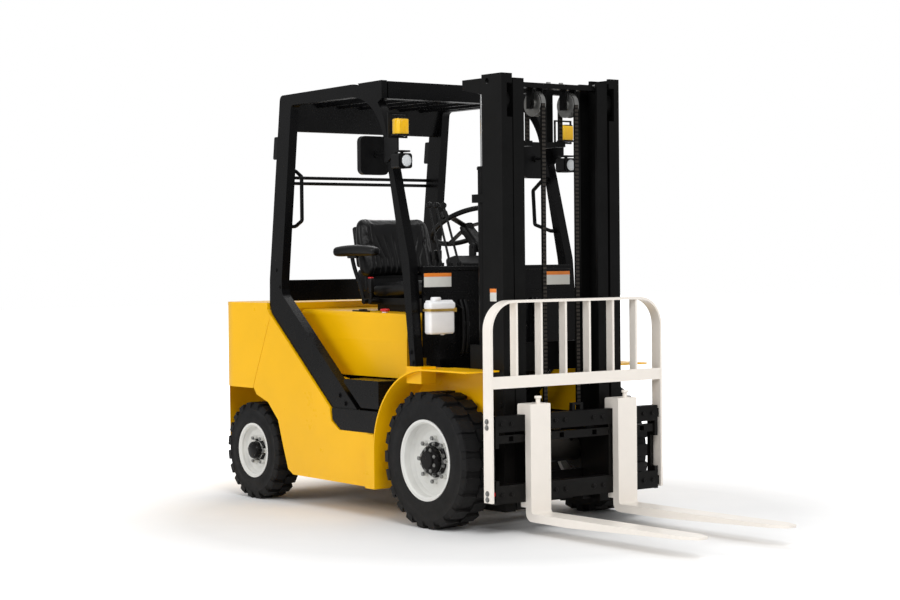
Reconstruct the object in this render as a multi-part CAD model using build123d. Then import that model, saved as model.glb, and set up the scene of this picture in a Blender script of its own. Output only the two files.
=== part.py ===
from build123d import *
import math
import os

# Counterbalanced forklift truck with a two-stage mast, in millimetres.
# X runs forward from the drive axle while modelling, Y to the left, Z up from the ground.
# The finished parts are moved along X so that the origin is at the middle of the footprint.

# Wheels and axles
WHEELBASE = 1600
DRIVE_TYRE_R = 329
DRIVE_TYRE_W = 180
DRIVE_TYRE_Y = 495
DRIVE_RIM_R = 185
STEER_TYRE_R = 262
STEER_TYRE_W = 150
STEER_TYRE_Y = 475
STEER_RIM_R = 137
KINGPIN_Y = 385
RIM_WALL = 9
LUG_DEPTH = 15
DRIVE_DISH = 72
STEER_DISH = 48
DRIVE_SPINDLE_R = 34
STEER_SPINDLE_R = 22
HUB_CAP_T = 14
HUB_BACK = 50
DRIVE_HUB_OUT = 48
STEER_HUB_OUT = 52
KINGPIN_R = 15
AXLE_TUBE_R = 62
DRUM_R = 128
DRUM_W = 55
RUN_GAP = 0.06
SEAT_GAP = 0.3

# Body
BODY_HALF_W = 540
SKIRT_T = 40
RAIL_Y = 306
RAIL_T = 14
INNER_HALF_W = 360
FENDER_HALF_W = BODY_HALF_W + 35
FENDER_INNER_Y = 378
FENDER_T = 8
FENDER_TOP_Z = 765
FENDER_FRONT_X = 322
FENDER_R = 426
SKIRT_BOTTOM_Z = 152
REAR_REACH = 2065
CW_TOP_Z = 1065
CW_BOTTOM_Z = 225
WELL_R = 345
WELL_TOP_Z = 600
TRUNNION_R = 38
DRAWBAR_R = 16
FLOOR_Z = 690
FLOOR_T = 6

# Hood and seat
HOOD_REAR_X = -1372
HOOD_FRONT_X = -400
HOOD_HALF_W = 385
HOOD_TOP_Z = 1030
HOOD_BOTTOM_Z = 694
HOOD_T = 5
HOOD_DROP = 14
HINGE_X = -1385
HINGE_Z = 1012
HINGE_PIN_R = 5
HINGE_Y = 250
SEAT_HALF_W = 250
SOFT_GAP = 0.3

# Overhead guard
GUARD_CENTRE_Y = BODY_HALF_W - 36
GUARD_W = 50
GUARD_TOP_Z = 2180
GUARD_FOOT_Z = 772
LEG_FOOT_Z = 534
ROOF_BARS = 6

# Mast, carriage and forks
MAST_HALF_W = 372.5
MAST_REAR_X = 200
MAST_FRONT_X = 350
MAST_BOTTOM_Z = 95
MAST_TOP_Z = 2166
LIFT_EYE_R = 14
OUTER_WEB_T = 13
OUTER_FLANGE_W = 65
FLANGE_T = 16
INNER_HALF = 298
INNER_WEB_T = 13
INNER_FLANGE_W = 66
INNER_TOP_Z = 2146
STAGE_GAP = 10
LIFT_TRAVEL = 1475
PULLEY_R = 60
PULLEY_X = 275
PULLEY_Y = 105
PULLEY_Z = 2033
LIFT_CYL_X = 158
LIFT_CYL_Y = 325
LIFT_CYL_R = 33
LIFT_ROD_R = 19
CARRIAGE_FRONT_X = 459.5
CARRIAGE_HALF_W = 515
FORK_FACE_X = 500
FORK_LENGTH = 1070
FORK_W = 122
FORK_T = 40
FORK_Y = 276
FORK_TOP_Z = 100
FORK_SHANK_TOP_Z = 612
BACKREST_HALF_W = 542.5
BACKREST_TOP_Z = 1098
BACKREST_R = 140
BACKREST_BAR_T = 12
BACKREST_BAR_D = 60
BACKREST_BARS = 6
ROLLER_R = 54
CARRIAGE_ROLLER_R = 49
ANCHOR_Z = 1860
CARRIAGE_ANCHOR_Z = 478
CHAIN_T = 12
GROOVE_R = PULLEY_R - 8
CHAIN_FRONT_X = PULLEY_X + GROOVE_R + SOFT_GAP + CHAIN_T / 2
CHAIN_REAR_X = PULLEY_X - GROOVE_R - SOFT_GAP - CHAIN_T / 2

# Tilt linkage: pivot on the drive axle, cylinders between frame and mast
TILT_EYE = (50, 815)
TILT_FOOT = (-420, 420)
TILT_CYL_Y = 262
TILT_CYL_R = 28
TILT_ROD_R = 16
TILT_PIN_R = 13
TILT_BORE_R = 22
TILT_EYE_GAP = 1.6

# Cab fittings
COWL_TOP_Z = 1258
STEER_HUB = (-400, 1460)
STEER_RAKE = 30
STEER_WHEEL_R = 180
COLUMN_PIVOT = (-285, 1350)
COLUMN_HUB_R = 26

FORK_TIP_X = FORK_FACE_X + FORK_LENGTH
ORIGIN_X = (REAR_REACH - FORK_TIP_X) / 2
DRIVE_AXLE = (0, DRIVE_TYRE_R)
STEER_AXLE = (-WHEELBASE, STEER_TYRE_R)

os.makedirs("parts", exist_ok=True)


def save(name, *shapes):
    """Move the shapes into the shared frame and write them as one node."""
    solids = [s for shape in shapes for s in shape.solids()]
    moved = [Pos(ORIGIN_X, 0, 0) * s for s in solids]
    whole = moved[0] if len(moved) == 1 else Compound(children=moved)
    whole.label = name
    export_step(whole, f"parts/{name}.step")


def block(x0, x1, y0, y1, z0, z1):
    """A box between two corners."""
    box = Box(x1 - x0, y1 - y0, z1 - z0)
    return Pos((x0 + x1) / 2, (y0 + y1) / 2, (z0 + z1) / 2) * box


def side_face(points, radii=0):
    """A face in the XZ plane from a closed outline, with one radius or one for each corner."""
    plane = Plane(origin=(0, 0, 0), x_dir=(1, 0, 0), z_dir=(0, -1, 0))
    if isinstance(radii, (int, float)):
        radii = [radii] * len(points)
    if any(radii):
        line = FilletPolyline(*points, radius=radii, close=True)
    else:
        line = Polyline(*points, close=True)
    return plane * make_face(line)


def side_slab(points, y0, y1, radii=0):
    """An XZ outline given thickness from y0 to y1."""
    return Pos(0, y1, 0) * extrude(side_face(points, radii), y1 - y0, dir=(0, -1, 0))


def y_cylinder(x, z, radius, y0, y1):
    return Pos(x, (y0 + y1) / 2, z) * Rot(90, 0, 0) * Cylinder(radius, y1 - y0)


def z_cylinder(x, y, radius, z0, z1):
    return Pos(x, y, (z0 + z1) / 2) * Cylinder(radius, z1 - z0)


def x_cylinder(y, z, radius, x0, x1):
    return Pos((x0 + x1) / 2, y, z) * Rot(0, 90, 0) * Cylinder(radius, x1 - x0)


def bar_between(start, end, radius):
    """A round bar from one point to another."""
    axis = Vector(*end) - Vector(*start)
    return extrude(Plane(origin=start, z_dir=axis) * Circle(radius), axis.length)


def bent_bar(points, radius, bend):
    """A round bar along straight runs joined by bends."""
    path = FilletPolyline(*points, radius=bend)
    start = Plane(origin=path @ 0, z_dir=path % 0)
    return sweep(start * Circle(radius), path=path)


def fuse(shapes):
    """Join shapes that touch or overlap into one."""
    return shapes[0] + shapes[1:]


def mirrored(shape):
    """The same shape on the other side of the truck."""
    return mirror(shape, about=Plane.XZ)


def pair(shape):
    """A shape and its mirror image."""
    return [shape, mirrored(shape)]


def wheel_tyre(radius, width, rim_r, lugs):
    """A solid tyre about Z: a carcass bored for its rim, with two staggered rows of tread lugs."""
    half = width / 2
    bore = rim_r + SEAT_GAP
    tread = radius - LUG_DEPTH
    right = [(bore, half - 14), (bore + 12, half - 11), (bore + 14, half - 3), (bore + 36, half),
             (tread - 26, half - 3), (tread - 4, half - 12)]
    left = [(r, -z) for r, z in reversed(right)]
    carcass = revolve(Plane.XZ * make_face(Polyline(*right, *left, close=True)), Axis.Z)
    pitch = 2 * math.pi * radius / lugs
    lug = Box(2 * LUG_DEPTH, 0.62 * pitch, half - 4)
    rows = []
    for row, side in enumerate((-1, 1)):
        for i in range(lugs):
            turn = 360 * (i + 0.5 * row) / lugs
            rows.append(Rot(0, 0, turn) * Pos(radius - LUG_DEPTH, 0, side * (half / 2 + 1)) * Rot(9 * side, 0, 0) * lug)
    return (carcass + rows) & Cylinder(radius, width)


def wheel_rim(rim_r, width, dish, hub_r, hub_out, spindle_r, nuts, nut_r):
    """A dished disc wheel about Z, outer face up, with a closed hub and its nuts."""
    half = width / 2
    inner = rim_r - RIM_WALL
    lip = half - 4
    face = half - dish
    top = face + hub_out
    back = face - HUB_BACK
    outline = [(0, top), (hub_r - 10, top), (hub_r, top - 8), (hub_r + 4, face), (inner - 34, face),
               (inner - 12, face + 8), (inner, face + 24), (inner, lip - 9), (inner + 8, lip),
               (rim_r + 11, lip), (rim_r + 11, lip - 5), (rim_r, lip - 8), (rim_r, 8 - lip),
               (rim_r + 11, 5 - lip), (rim_r + 11, -lip), (inner, -lip), (inner, face - 4),
               (inner - 16, face - 12), (hub_r - 4, face - 12), (hub_r - 4, back), (0, back)]
    wheel = revolve(Plane.XZ * make_face(Polyline(*outline, close=True)), Axis.Z)
    bore_top = top - HUB_CAP_T
    bore = Pos(0, 0, (back - 1 + bore_top) / 2) * Cylinder(spindle_r + RUN_GAP, bore_top - back + 1)
    studs = [Rot(0, 0, 360 * i / nuts) * Pos(nut_r, 0, face + 8) * Cylinder(12, 24) for i in range(nuts)]
    return (wheel + studs) - bore


def on_axle(shape, x, y, z, side):
    """Lay a wheel part made about Z on its axle, outer face away from the truck."""
    return Pos(x, side * y, z) * Rot(-90 * side, 0, 0) * shape


def build_wheels():
    """Four wheels: each tyre and each rim is a node."""
    front_tyre = wheel_tyre(DRIVE_TYRE_R, DRIVE_TYRE_W, DRIVE_RIM_R, 22)
    rear_tyre = wheel_tyre(STEER_TYRE_R, STEER_TYRE_W, STEER_RIM_R, 20)
    front_rim = wheel_rim(DRIVE_RIM_R, DRIVE_TYRE_W, DRIVE_DISH, 64, DRIVE_HUB_OUT,
                          DRIVE_SPINDLE_R, 8, 104)
    rear_rim = wheel_rim(STEER_RIM_R, STEER_TYRE_W, STEER_DISH, 44, STEER_HUB_OUT,
                         STEER_SPINDLE_R, 6, 72)
    for side, name in ((-1, "right"), (1, "left")):
        front = (DRIVE_AXLE[0], DRIVE_TYRE_Y, DRIVE_AXLE[1], side)
        rear = (STEER_AXLE[0], STEER_TYRE_Y, STEER_AXLE[1], side)
        save(f"front_tyre_{name}", on_axle(front_tyre, *front))
        save(f"front_rim_{name}", on_axle(front_rim, *front))
        save(f"rear_tyre_{name}", on_axle(rear_tyre, *rear))
        save(f"rear_rim_{name}", on_axle(rear_rim, *rear))


def spindle_end(tyre_y, width, dish, hub_out):
    """How far out from the middle of the truck a spindle reaches into its hub."""
    return tyre_y + width / 2 - dish + hub_out - HUB_CAP_T - 1


def build_axles():
    """Drive axle with its spindles, steer axle beam, and a knuckle with a spindle each side."""
    x, z = DRIVE_AXLE
    reach = spindle_end(DRIVE_TYRE_Y, DRIVE_TYRE_W, DRIVE_DISH, DRIVE_HUB_OUT)
    shoulder = DRIVE_TYRE_Y + DRIVE_TYRE_W / 2 - DRIVE_DISH - HUB_BACK - 1
    tube = y_cylinder(x, z, AXLE_TUBE_R, -shoulder, shoulder)
    spindles = y_cylinder(x, z, DRIVE_SPINDLE_R, -reach, reach)
    housing = Pos(x - 70, 0, z) * scale(Sphere(120), (1.15, 0.95, 1))
    drums = [y_cylinder(x, z, DRUM_R, *sorted((s * (shoulder - DRUM_W), s * shoulder))) for s in (-1, 1)]
    save("drive_axle", tube + spindles + housing + drums)

    x, z = STEER_AXLE
    beam = block(x - 45, x + 45, -KINGPIN_Y + 62, KINGPIN_Y - 62, z - 55, z + 55)
    trunnion = x_cylinder(0, z, TRUNNION_R, x - 110, x + 110)
    ears = []
    for side in (-1, 1):
        inner, outer = sorted((side * (KINGPIN_Y - 64), side * (KINGPIN_Y + 26)))
        for low, high in ((z - 92, z - 58), (z + 58, z + 92)):
            plate = block(x - 34, x + 34, inner, outer, low, high)
            ears.append(plate - z_cylinder(x, side * KINGPIN_Y, KINGPIN_R + RUN_GAP, low - 1, high + 1))
    web = [block(x - 45, x + 45, *sorted((s * (KINGPIN_Y - 92), s * (KINGPIN_Y - 62))), z - 92, z + 92)
           for s in (-1, 1)]
    save("steer_axle", beam + trunnion + ears + web)

    reach = spindle_end(STEER_TYRE_Y, STEER_TYRE_W, STEER_DISH, STEER_HUB_OUT)
    shoulder = STEER_TYRE_Y + STEER_TYRE_W / 2 - STEER_DISH - HUB_BACK - 1
    for side, name in ((-1, "right"), (1, "left")):
        pin = z_cylinder(x, side * KINGPIN_Y, KINGPIN_R, z - 94, z + 94)
        barrel = z_cylinder(x, side * KINGPIN_Y, 30, z - 57.5, z + 57.5)
        stub = y_cylinder(x, z, STEER_SPINDLE_R, *sorted((side * KINGPIN_Y, side * reach)))
        collar = y_cylinder(x, z, 30, *sorted((side * KINGPIN_Y, side * shoulder)))
        save(f"knuckle_{name}", pin + barrel + collar + stub)


def build_frame():
    """Frame: side rails, cross members, tank sills, axle mounts and the feet of the tilt cylinders."""
    def both(a, b):
        return [sorted((side * a, side * b)) for side in (-1, 1)]
    top = FLOOR_Z - FLOOR_T
    arch = STEER_AXLE[1] + STEER_TYRE_R + 12
    rail = [(-1500, arch), (-1500, WELL_TOP_Z), (-1250, top), (-250, top), (-190, 560), (-100, 470),
            (70, 470), (70, 402), (-110, 402), (-200, 230), (-1180, 230), (-1280, 340), (-1280, arch)]
    shapes = [side_slab(rail, *y) for y in both(RAIL_Y, RAIL_Y + RAIL_T)]
    shapes += [block(-240, -216, -RAIL_Y, RAIL_Y, 300, 400), block(-1180, -1150, -RAIL_Y, RAIL_Y, 240, 420)]
    shapes.append(block(-1530, -1480, -RAIL_Y - RAIL_T, RAIL_Y + RAIL_T, arch, WELL_TOP_Z + 20))
    shapes.append(block(-1700, -1480, -70, 70, WELL_TOP_Z, WELL_TOP_Z + 20))
    shapes += [block(-1180, -460, *y, 240, 400) for y in both(RAIL_Y + RAIL_T, INNER_HALF_W)]
    for x0 in (-WHEELBASE - 100, -WHEELBASE + 74):
        hanger = block(x0, x0 + 26, -70, 70, STEER_TYRE_R - 60, WELL_TOP_Z)
        shapes.append(hanger - x_cylinder(0, STEER_TYRE_R, TRUNNION_R + RUN_GAP, x0 - 1, x0 + 27))
    for y in both(RAIL_Y, RAIL_Y + RAIL_T):
        saddle = block(-46, 46, *y, DRIVE_TYRE_R, 402)
        shapes.append(saddle - y_cylinder(0, DRIVE_TYRE_R, AXLE_TUBE_R, -400, 400))
    foot_x, foot_z = TILT_FOOT
    for inner in (TILT_CYL_Y - 36, TILT_CYL_Y + 22):
        for y in both(inner, inner + 14):
            ear = block(foot_x - 24, foot_x + 24, *y, 290, foot_z + 24)
            shapes.append(ear - y_cylinder(foot_x, foot_z, TILT_PIN_R + RUN_GAP, -400, 400))
    shapes.append(block(foot_x - 24, foot_x + 24, -RAIL_Y, RAIL_Y, 272, 290))
    save("chassis_frame", fuse(shapes))


def skirt_outline():
    """The side of the truck: diagonal top edge under the guard leg, step notch, sill and rear arch."""
    return [(-1418, 998), (-866, 535), (-852, 466), (-780, 424), (-446, 424), (-446, SKIRT_BOTTOM_Z),
            (-1214, SKIRT_BOTTOM_Z + 8), (-1262, 186), (-1310, 310), (-1356, 440), (-1454, 531), (-1566, 566),
            (-1600, 606)]


def fender_sheet():
    """The front fender: flap behind the wheel, arch over it and a flat top, one bent sheet."""
    outer = FENDER_R + FENDER_T
    path = [(-outer, SKIRT_BOTTOM_Z), (-outer, FENDER_TOP_Z), (FENDER_FRONT_X, FENDER_TOP_Z),
            (FENDER_FRONT_X, FENDER_TOP_Z - FENDER_T), (-FENDER_R, FENDER_TOP_Z - FENDER_T),
            (-FENDER_R, SKIRT_BOTTOM_Z)]
    return path, [0, outer - 14, 0, 0, FENDER_R - 14, 0]


def hood_hinge_lugs():
    """A beam between the body sides behind the hood, with two pairs of lugs and their hinge pins."""
    beam = block(HINGE_X - 8, HINGE_X + 8, -INNER_HALF_W - 42, INNER_HALF_W + 42, 900, 932)
    lugs = [beam]
    for y in (-HINGE_Y, HINGE_Y):
        lugs += [block(HINGE_X - 8, HINGE_X + 8, y0, y0 + 11, 930, HINGE_Z + 8) for y0 in (y - 42, y + 31)]
        lugs.append(block(HINGE_X - 8, HINGE_X + 8, y - 42, y + 42, 930, 960))
        lugs.append(y_cylinder(HINGE_X, HINGE_Z, HINGE_PIN_R, y - 42, y + 42))
    return lugs


def build_body_sides():
    """Each side: skirt with sill and rear arch, front fender, its inner panel and the guard foot pad."""
    path, radii = fender_sheet()
    rise = [(-1404, 1000), (-1350, 1000), (-1000, FLOOR_Z + 4), (-880, FLOOR_Z - 14), (-880, 400),
            (-1180, 400), (-1270, 640), (-1404, 640)]
    liner = [(-434, 180), (-434, 560), (-180, FENDER_TOP_Z - 3), (234, FENDER_TOP_Z - 3), (270, 606),
             (270, 515), (-200, 515), (-300, 400), (-300, 180)]
    shapes = hood_hinge_lugs()
    for side in (-1, 1):
        def span(a, b):
            return sorted((side * a, side * b))
        shapes += [side_slab(skirt_outline(), *span(BODY_HALF_W - SKIRT_T, BODY_HALF_W)),
                  block(-1180, -446, *span(INNER_HALF_W, BODY_HALF_W - 20), SKIRT_BOTTOM_Z + 12, 418),
                  side_slab(rise, *span(INNER_HALF_W + 40, BODY_HALF_W - SKIRT_T - 22)),
                  block(-1180, -880, *span(INNER_HALF_W + 40, BODY_HALF_W - 20), 400, 500),
                  side_slab(path, *span(FENDER_INNER_Y, FENDER_HALF_W), radii),
                  block(-505, -432, *span(BODY_HALF_W - 22, FENDER_HALF_W), SKIRT_BOTTOM_Z, 424),
                  side_slab(liner, *span(FENDER_INNER_Y, FENDER_INNER_Y + 8)),
                  block(-190, -70, *span(GUARD_CENTRE_Y - 48, GUARD_CENTRE_Y + 40), 690, GUARD_FOOT_Z)]
    save("body_sides", fuse(shapes))


def build_counterweight():
    """The cast counterweight: curved back, seam to the sides, two wheel wells and a drawbar pin bore."""
    plan = Plane.XY.offset(CW_BOTTOM_Z) * make_face(
        FilletPolyline((-1400, -BODY_HALF_W), (-1930, -BODY_HALF_W), (-REAR_REACH, -190), (-REAR_REACH, 190),
                       (-1930, BODY_HALF_W), (-1400, BODY_HALF_W), radius=[0, 190, 260, 260, 190, 0], close=True))
    profile = [(-1380, CW_BOTTOM_Z), (-1380, CW_TOP_Z), (-REAR_REACH, CW_TOP_Z), (-REAR_REACH, 585),
               (-REAR_REACH + 75, CW_BOTTOM_Z)]
    side_view = side_slab(profile, -BODY_HALF_W, BODY_HALF_W, [0, 0, 130, 30, 40])
    body = extrude(plan, CW_TOP_Z - CW_BOTTOM_Z) & side_view
    front = [(-1380, CW_TOP_Z + 5), (-1440, 958), (-1604, 606), (-1604, 200), (-1380, 200)]
    body -= side_slab(front, -BODY_HALF_W - 5, BODY_HALF_W + 5)
    leg_pocket = [(-1450, CW_TOP_Z + 5), (-1450, 1030), (-1421, 994), (-1300, 900), (-1300, CW_TOP_Z + 5)]
    for side in (-1, 1):
        body -= z_cylinder(-WHEELBASE, side * KINGPIN_Y, WELL_R, 100, WELL_TOP_Z)
        body -= side_slab(leg_pocket, *sorted((side * (GUARD_CENTRE_Y - 32), side * (BODY_HALF_W + 5))))
    body -= block(-1740, -1500, -KINGPIN_Y, KINGPIN_Y, 100, WELL_TOP_Z + 22)
    body -= block(-REAR_REACH - 5, -REAR_REACH + 90, -60, 60, 395, 455)
    body += z_cylinder(-REAR_REACH + 52, 0, DRAWBAR_R, 390, 460)
    save("counterweight", body)


def hood_section(half_w, top, bottom, corner):
    """A front-view slab along the hood with rounded shoulders and sides that lean out a little."""
    waist = half_w - 12
    points = [(-waist, top), (waist, top), (half_w, top - 150), (half_w, bottom), (-half_w, bottom),
              (-half_w, top - 150)]
    line = FilletPolyline(*points, radius=[corner, corner, 60, 0, 0, 60], close=True)
    start = Plane(origin=(HOOD_REAR_X - 20, 0, 0), x_dir=(0, 1, 0), z_dir=(1, 0, 0))
    return extrude(start * make_face(line), HOOD_FRONT_X - HOOD_REAR_X + 40)


def hood_top(x):
    """Height of the hood's top at x: it falls a little towards the front."""
    return HOOD_TOP_Z - HOOD_DROP * (x - HOOD_REAR_X) / (HOOD_FRONT_X - HOOD_REAR_X)


def build_hood():
    """The hood: a pressed shell with a front face and bulging sides, open below, hinged at the back."""
    outline = [(HOOD_REAR_X, HOOD_TOP_Z), (HOOD_FRONT_X, HOOD_TOP_Z - HOOD_DROP), (HOOD_FRONT_X, HOOD_BOTTOM_Z),
               (-985, HOOD_BOTTOM_Z), (-1335, 985), (HOOD_REAR_X, 985)]
    outer = side_slab(outline, -HOOD_HALF_W, HOOD_HALF_W, [12, 45, 20, 30, 30, 0])
    outer &= hood_section(HOOD_HALF_W, HOOD_TOP_Z, 600, 34)
    room = [(HOOD_REAR_X + HOOD_T, HOOD_TOP_Z - HOOD_T), (HOOD_FRONT_X - HOOD_T, HOOD_TOP_Z - HOOD_DROP - HOOD_T),
            (HOOD_FRONT_X - HOOD_T, HOOD_BOTTOM_Z - 20), (-1000, HOOD_BOTTOM_Z - 20), (-1355, 960),
            (HOOD_REAR_X + HOOD_T, 960)]
    inner = side_slab(room, -HOOD_HALF_W, HOOD_HALF_W, [0, 40, 0, 0, 0, 0])
    inner &= hood_section(HOOD_HALF_W - HOOD_T, HOOD_TOP_Z - HOOD_T, 600, 29)
    shell = outer - inner
    knuckles = [y_cylinder(HINGE_X, HINGE_Z, 9, y - 30, y + 30) for y in (-HINGE_Y, HINGE_Y)]
    leaves = [block(HINGE_X, HOOD_REAR_X + 3, y - 30, y + 30, HINGE_Z - 5, HINGE_Z + 5)
              for y in (-HINGE_Y, HINGE_Y)]
    pins = y_cylinder(HINGE_X, HINGE_Z, HINGE_PIN_R + RUN_GAP, -400, 400)
    save("hood", fuse([shell] + knuckles + leaves) - pins)


def build_seat():
    """The seat on the hood: base, cushion, back, armrests and belt buckle."""
    pan_z = HOOD_TOP_Z - 4
    foot = [(-920, hood_top(-920) + SOFT_GAP), (-520, hood_top(-520) + SOFT_GAP), (-520, pan_z + 30),
            (-920, pan_z + 30)]
    rails = [side_slab(foot, y - 20, y + 20) for y in (-170, 170)]
    pan = block(-960, -500, -215, 215, pan_z + 30, pan_z + 66)
    bracket = side_slab([(-990, pan_z + 34), (-948, pan_z + 34), (-968, 1190), (-1075, 1190), (-1040, 1100)],
                        -200, 200)
    save("seat_base", fuse(rails + [pan, bracket]))
    base_z = pan_z + 66 + SOFT_GAP
    cushion = [(-940, base_z), (-478, base_z), (-466, base_z + 62), (-500, base_z + 86), (-900, base_z + 62)]
    save("seat_cushion", side_slab(cushion, -SEAT_HALF_W + 8, SEAT_HALF_W - 8, [10, 20, 24, 20, 20]))
    lean = [(-940, 1190 + SOFT_GAP), (-1032, 1500), (-1075, 1520), (-1122, 1498), (-1092, 1300), (-1078, 1190 + SOFT_GAP)]
    save("seat_back", side_slab(lean, -SEAT_HALF_W, SEAT_HALF_W, [8, 24, 14, 24, 60, 8]))
    rest = block(-1130, -745, -345, -275, 1318, 1372)
    rest = fillet(rest.edges().filter_by(Axis.Y), 16)
    post = bar_between((-930, -264, 1074), (-985, -304, 1326), 11)
    hinge = y_cylinder(-930, 1074, 15, -276, -215)
    buckle = block(-880, -845, -285, -262, 1120, 1200)
    strap = block(-872, -853, -279, -268, 1070, 1125)
    clip = y_cylinder(-862, 1074, 14, -281, -215)
    save("armrest", fuse([rest, post, hinge]), fuse([buckle, strap, clip]))


def build_engine():
    """The engine and gearbox as one plain block on two cross bearers."""
    engine = block(-1140, -560, -230, 230, 380, 880)
    feet = [block(x - 30, x + 30, -RAIL_Y, RAIL_Y, 380, 410) for x in (-1090, -610)]
    save("engine_block", fuse([engine] + feet))


def guard_outline():
    """One hooked outline: diagonal leg, rear pillar, top rail, large bend and slanting front pillar."""
    outer = [(-857, LEG_FOOT_Z), (-1442, 1026), (-1439, 1190), (-1318, GUARD_TOP_Z - 14), (-431, GUARD_TOP_Z),
             (-180, 1287), (-150, 900), (-136, GUARD_FOOT_Z)]
    inner = [(-180, GUARD_FOOT_Z), (-196, 900), (-244, 1287), (-432, GUARD_TOP_Z - 68), (-1213, GUARD_TOP_Z - 70),
             (-1322, 1190), (-1322, 1112), (-634, LEG_FOOT_Z)]
    radii = [0, 110, 60, 30, 300, 200, 60, 0, 0, 60, 200, 292, 26, 40, 60, 0]
    return outer + inner, radii


def build_guard():
    """Overhead guard: two side frames, roof bars with headers, rear panel, rods, handles and gussets."""
    points, radii = guard_outline()
    frames = []
    for side in (-1, 1):
        def span(a, b):
            return sorted((side * a, side * b))
        low, high = GUARD_CENTRE_Y - GUARD_W / 2, GUARD_CENTRE_Y + GUARD_W / 2
        frame = side_slab(points, *span(low, high), radii)
        gusset = side_slab([(-600, GUARD_TOP_Z - 3), (-395, GUARD_TOP_Z), (-395, GUARD_TOP_Z - 90),
                            (-450, GUARD_TOP_Z - 120)], *span(high - 34, high))
        frames.append(fuse([frame, gusset]))
    save("guard_sides", *frames)
    inner_w = GUARD_CENTRE_Y - GUARD_W / 2
    front = block(-470, -408, -inner_w, inner_w, GUARD_TOP_Z - 88, GUARD_TOP_Z - 2)
    rear = side_slab([(-1300, 1975), (-1270, 1975), (-1222, GUARD_TOP_Z - 20), (-1300, GUARD_TOP_Z - 20)],
                     -inner_w, inner_w, 8)
    bars = [block(-1300, -440, y - 5, y + 5, GUARD_TOP_Z - 78, GUARD_TOP_Z - 26)
            for y in [(-0.5 + (i + 1) / (ROOF_BARS + 1)) * 2 * inner_w for i in range(ROOF_BARS)]]
    panel = block(-1424, -1410, -inner_w, inner_w, CW_TOP_Z + 8, 1186)
    rods = [y_cylinder(-1352, z, 9, -inner_w, inner_w) for z in (1704, 1734)]
    save("guard_roof", fuse([front, rear] + bars), panel)
    end = inner_w - SOFT_GAP
    grip = end - 27
    rear_grip = bent_bar([(-1292, -end, 1768), (-1292, -grip, 1768), (-1236, -grip, 1736), (-1236, -grip, 1502),
                          (-1300, -grip, 1472), (-1300, -end, 1472)], 10, 12)
    front_grip = bent_bar([(-318, end, 1704), (-318, grip, 1704), (-404, grip, 1646), (-392, grip, 1468),
                           (-264, grip, 1432), (-264, end, 1432)], 10, 12)
    save("guard_rods", *rods, rear_grip, front_grip)


def pillar_front_x(z):
    """The front edge of the slanting front pillar at height z, above its lower bend."""
    return -180 - (z - 1287) * 251 / (GUARD_TOP_Z - 1287)


def pillar_back_x(z):
    """The back edge of the slanting front pillar at height z, above its lower bend."""
    return -244 - (z - 1287) * 188 / (GUARD_TOP_Z - 68 - 1287)


def rear_pillar_x(z):
    """The back edge of the rear pillar at height z."""
    return -1439 + (z - 1190) * 121 / (GUARD_TOP_Z - 14 - 1190)


def build_lamps():
    """Mirrors, lamp brackets, direction lamps and work lamps on the front pillars, and rear lamps."""
    face = GUARD_CENTRE_Y + GUARD_W / 2
    lamp_z, work_z = GUARD_TOP_Z - 286, GUARD_TOP_Z - 364
    brackets, ambers, works, glasses, tails = [], [], [], [], []
    for side in (-1, 1):
        def span(a, b):
            return sorted((side * a, side * b))
        hoop = block(-262, -254, *span(face - 53, face + 63), lamp_z - 8, lamp_z + 114)
        hoop -= block(-270, -250, *span(face - 45, face + 55), lamp_z, lamp_z + 106)
        tab = side_slab([(-366, lamp_z - 122), (-345, lamp_z - 122), (-270, work_z), (-254, work_z),
                         (-254, lamp_z), (-366, lamp_z)],
                        *span(face, face + 8))
        shelf = block(-262, -200, *span(face - 29, face + 31), work_z, work_z + 8)
        brackets.append(fuse([hoop, tab, shelf]))
        amber = block(-264, -198, *span(face - 40, face + 48), lamp_z + SOFT_GAP, lamp_z + 86)
        amber = fillet(amber.edges(), 9)
        ambers.append(amber)
        lamp = block(-264, -200, *span(face - 40, face + 42), work_z - 80, work_z - 6)
        lamp = fillet(lamp.edges().filter_by(Axis.X), 14)
        rim = block(-200, -192, *span(face - 34, face + 36), work_z - 74, work_z - 12)
        rim = fillet(rim.edges().filter_by(Axis.X), 10)
        works.append(fuse([lamp, rim, z_cylinder(-230, side * (face + 1), 8, work_z - 8, work_z - SOFT_GAP)]))
        plate = block(-492, -462, *span(GUARD_CENTRE_Y - 64, GUARD_CENTRE_Y + 108), work_z - 102, work_z + 90)
        plate = fillet(plate.edges().filter_by(Axis.X), 30)
        arm_end = pillar_back_x(work_z + 7) - SOFT_GAP
        arm = x_cylinder(side * (GUARD_CENTRE_Y + 14), work_z, 7, -470, arm_end)
        boss = x_cylinder(side * (GUARD_CENTRE_Y + 14), work_z, 17, -464, -448)
        glasses.append(fuse([plate, arm, boss]))
        z0, z1 = GUARD_TOP_Z - 350, GUARD_TOP_Z - 230
        back = [(rear_pillar_x(z0) - SOFT_GAP, z0), (rear_pillar_x(z1) - SOFT_GAP, z1),
                (rear_pillar_x(z1) - 38, z1), (rear_pillar_x(z0) - 38, z0)]
        tails.append(side_slab(back, *span(GUARD_CENTRE_Y - 22, GUARD_CENTRE_Y + 22), [3, 3, 10, 10]))
    save("direction_lamps", *ambers)
    save("work_lamps", *works, *tails)
    save("mirrors", *glasses, *brackets)


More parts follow.
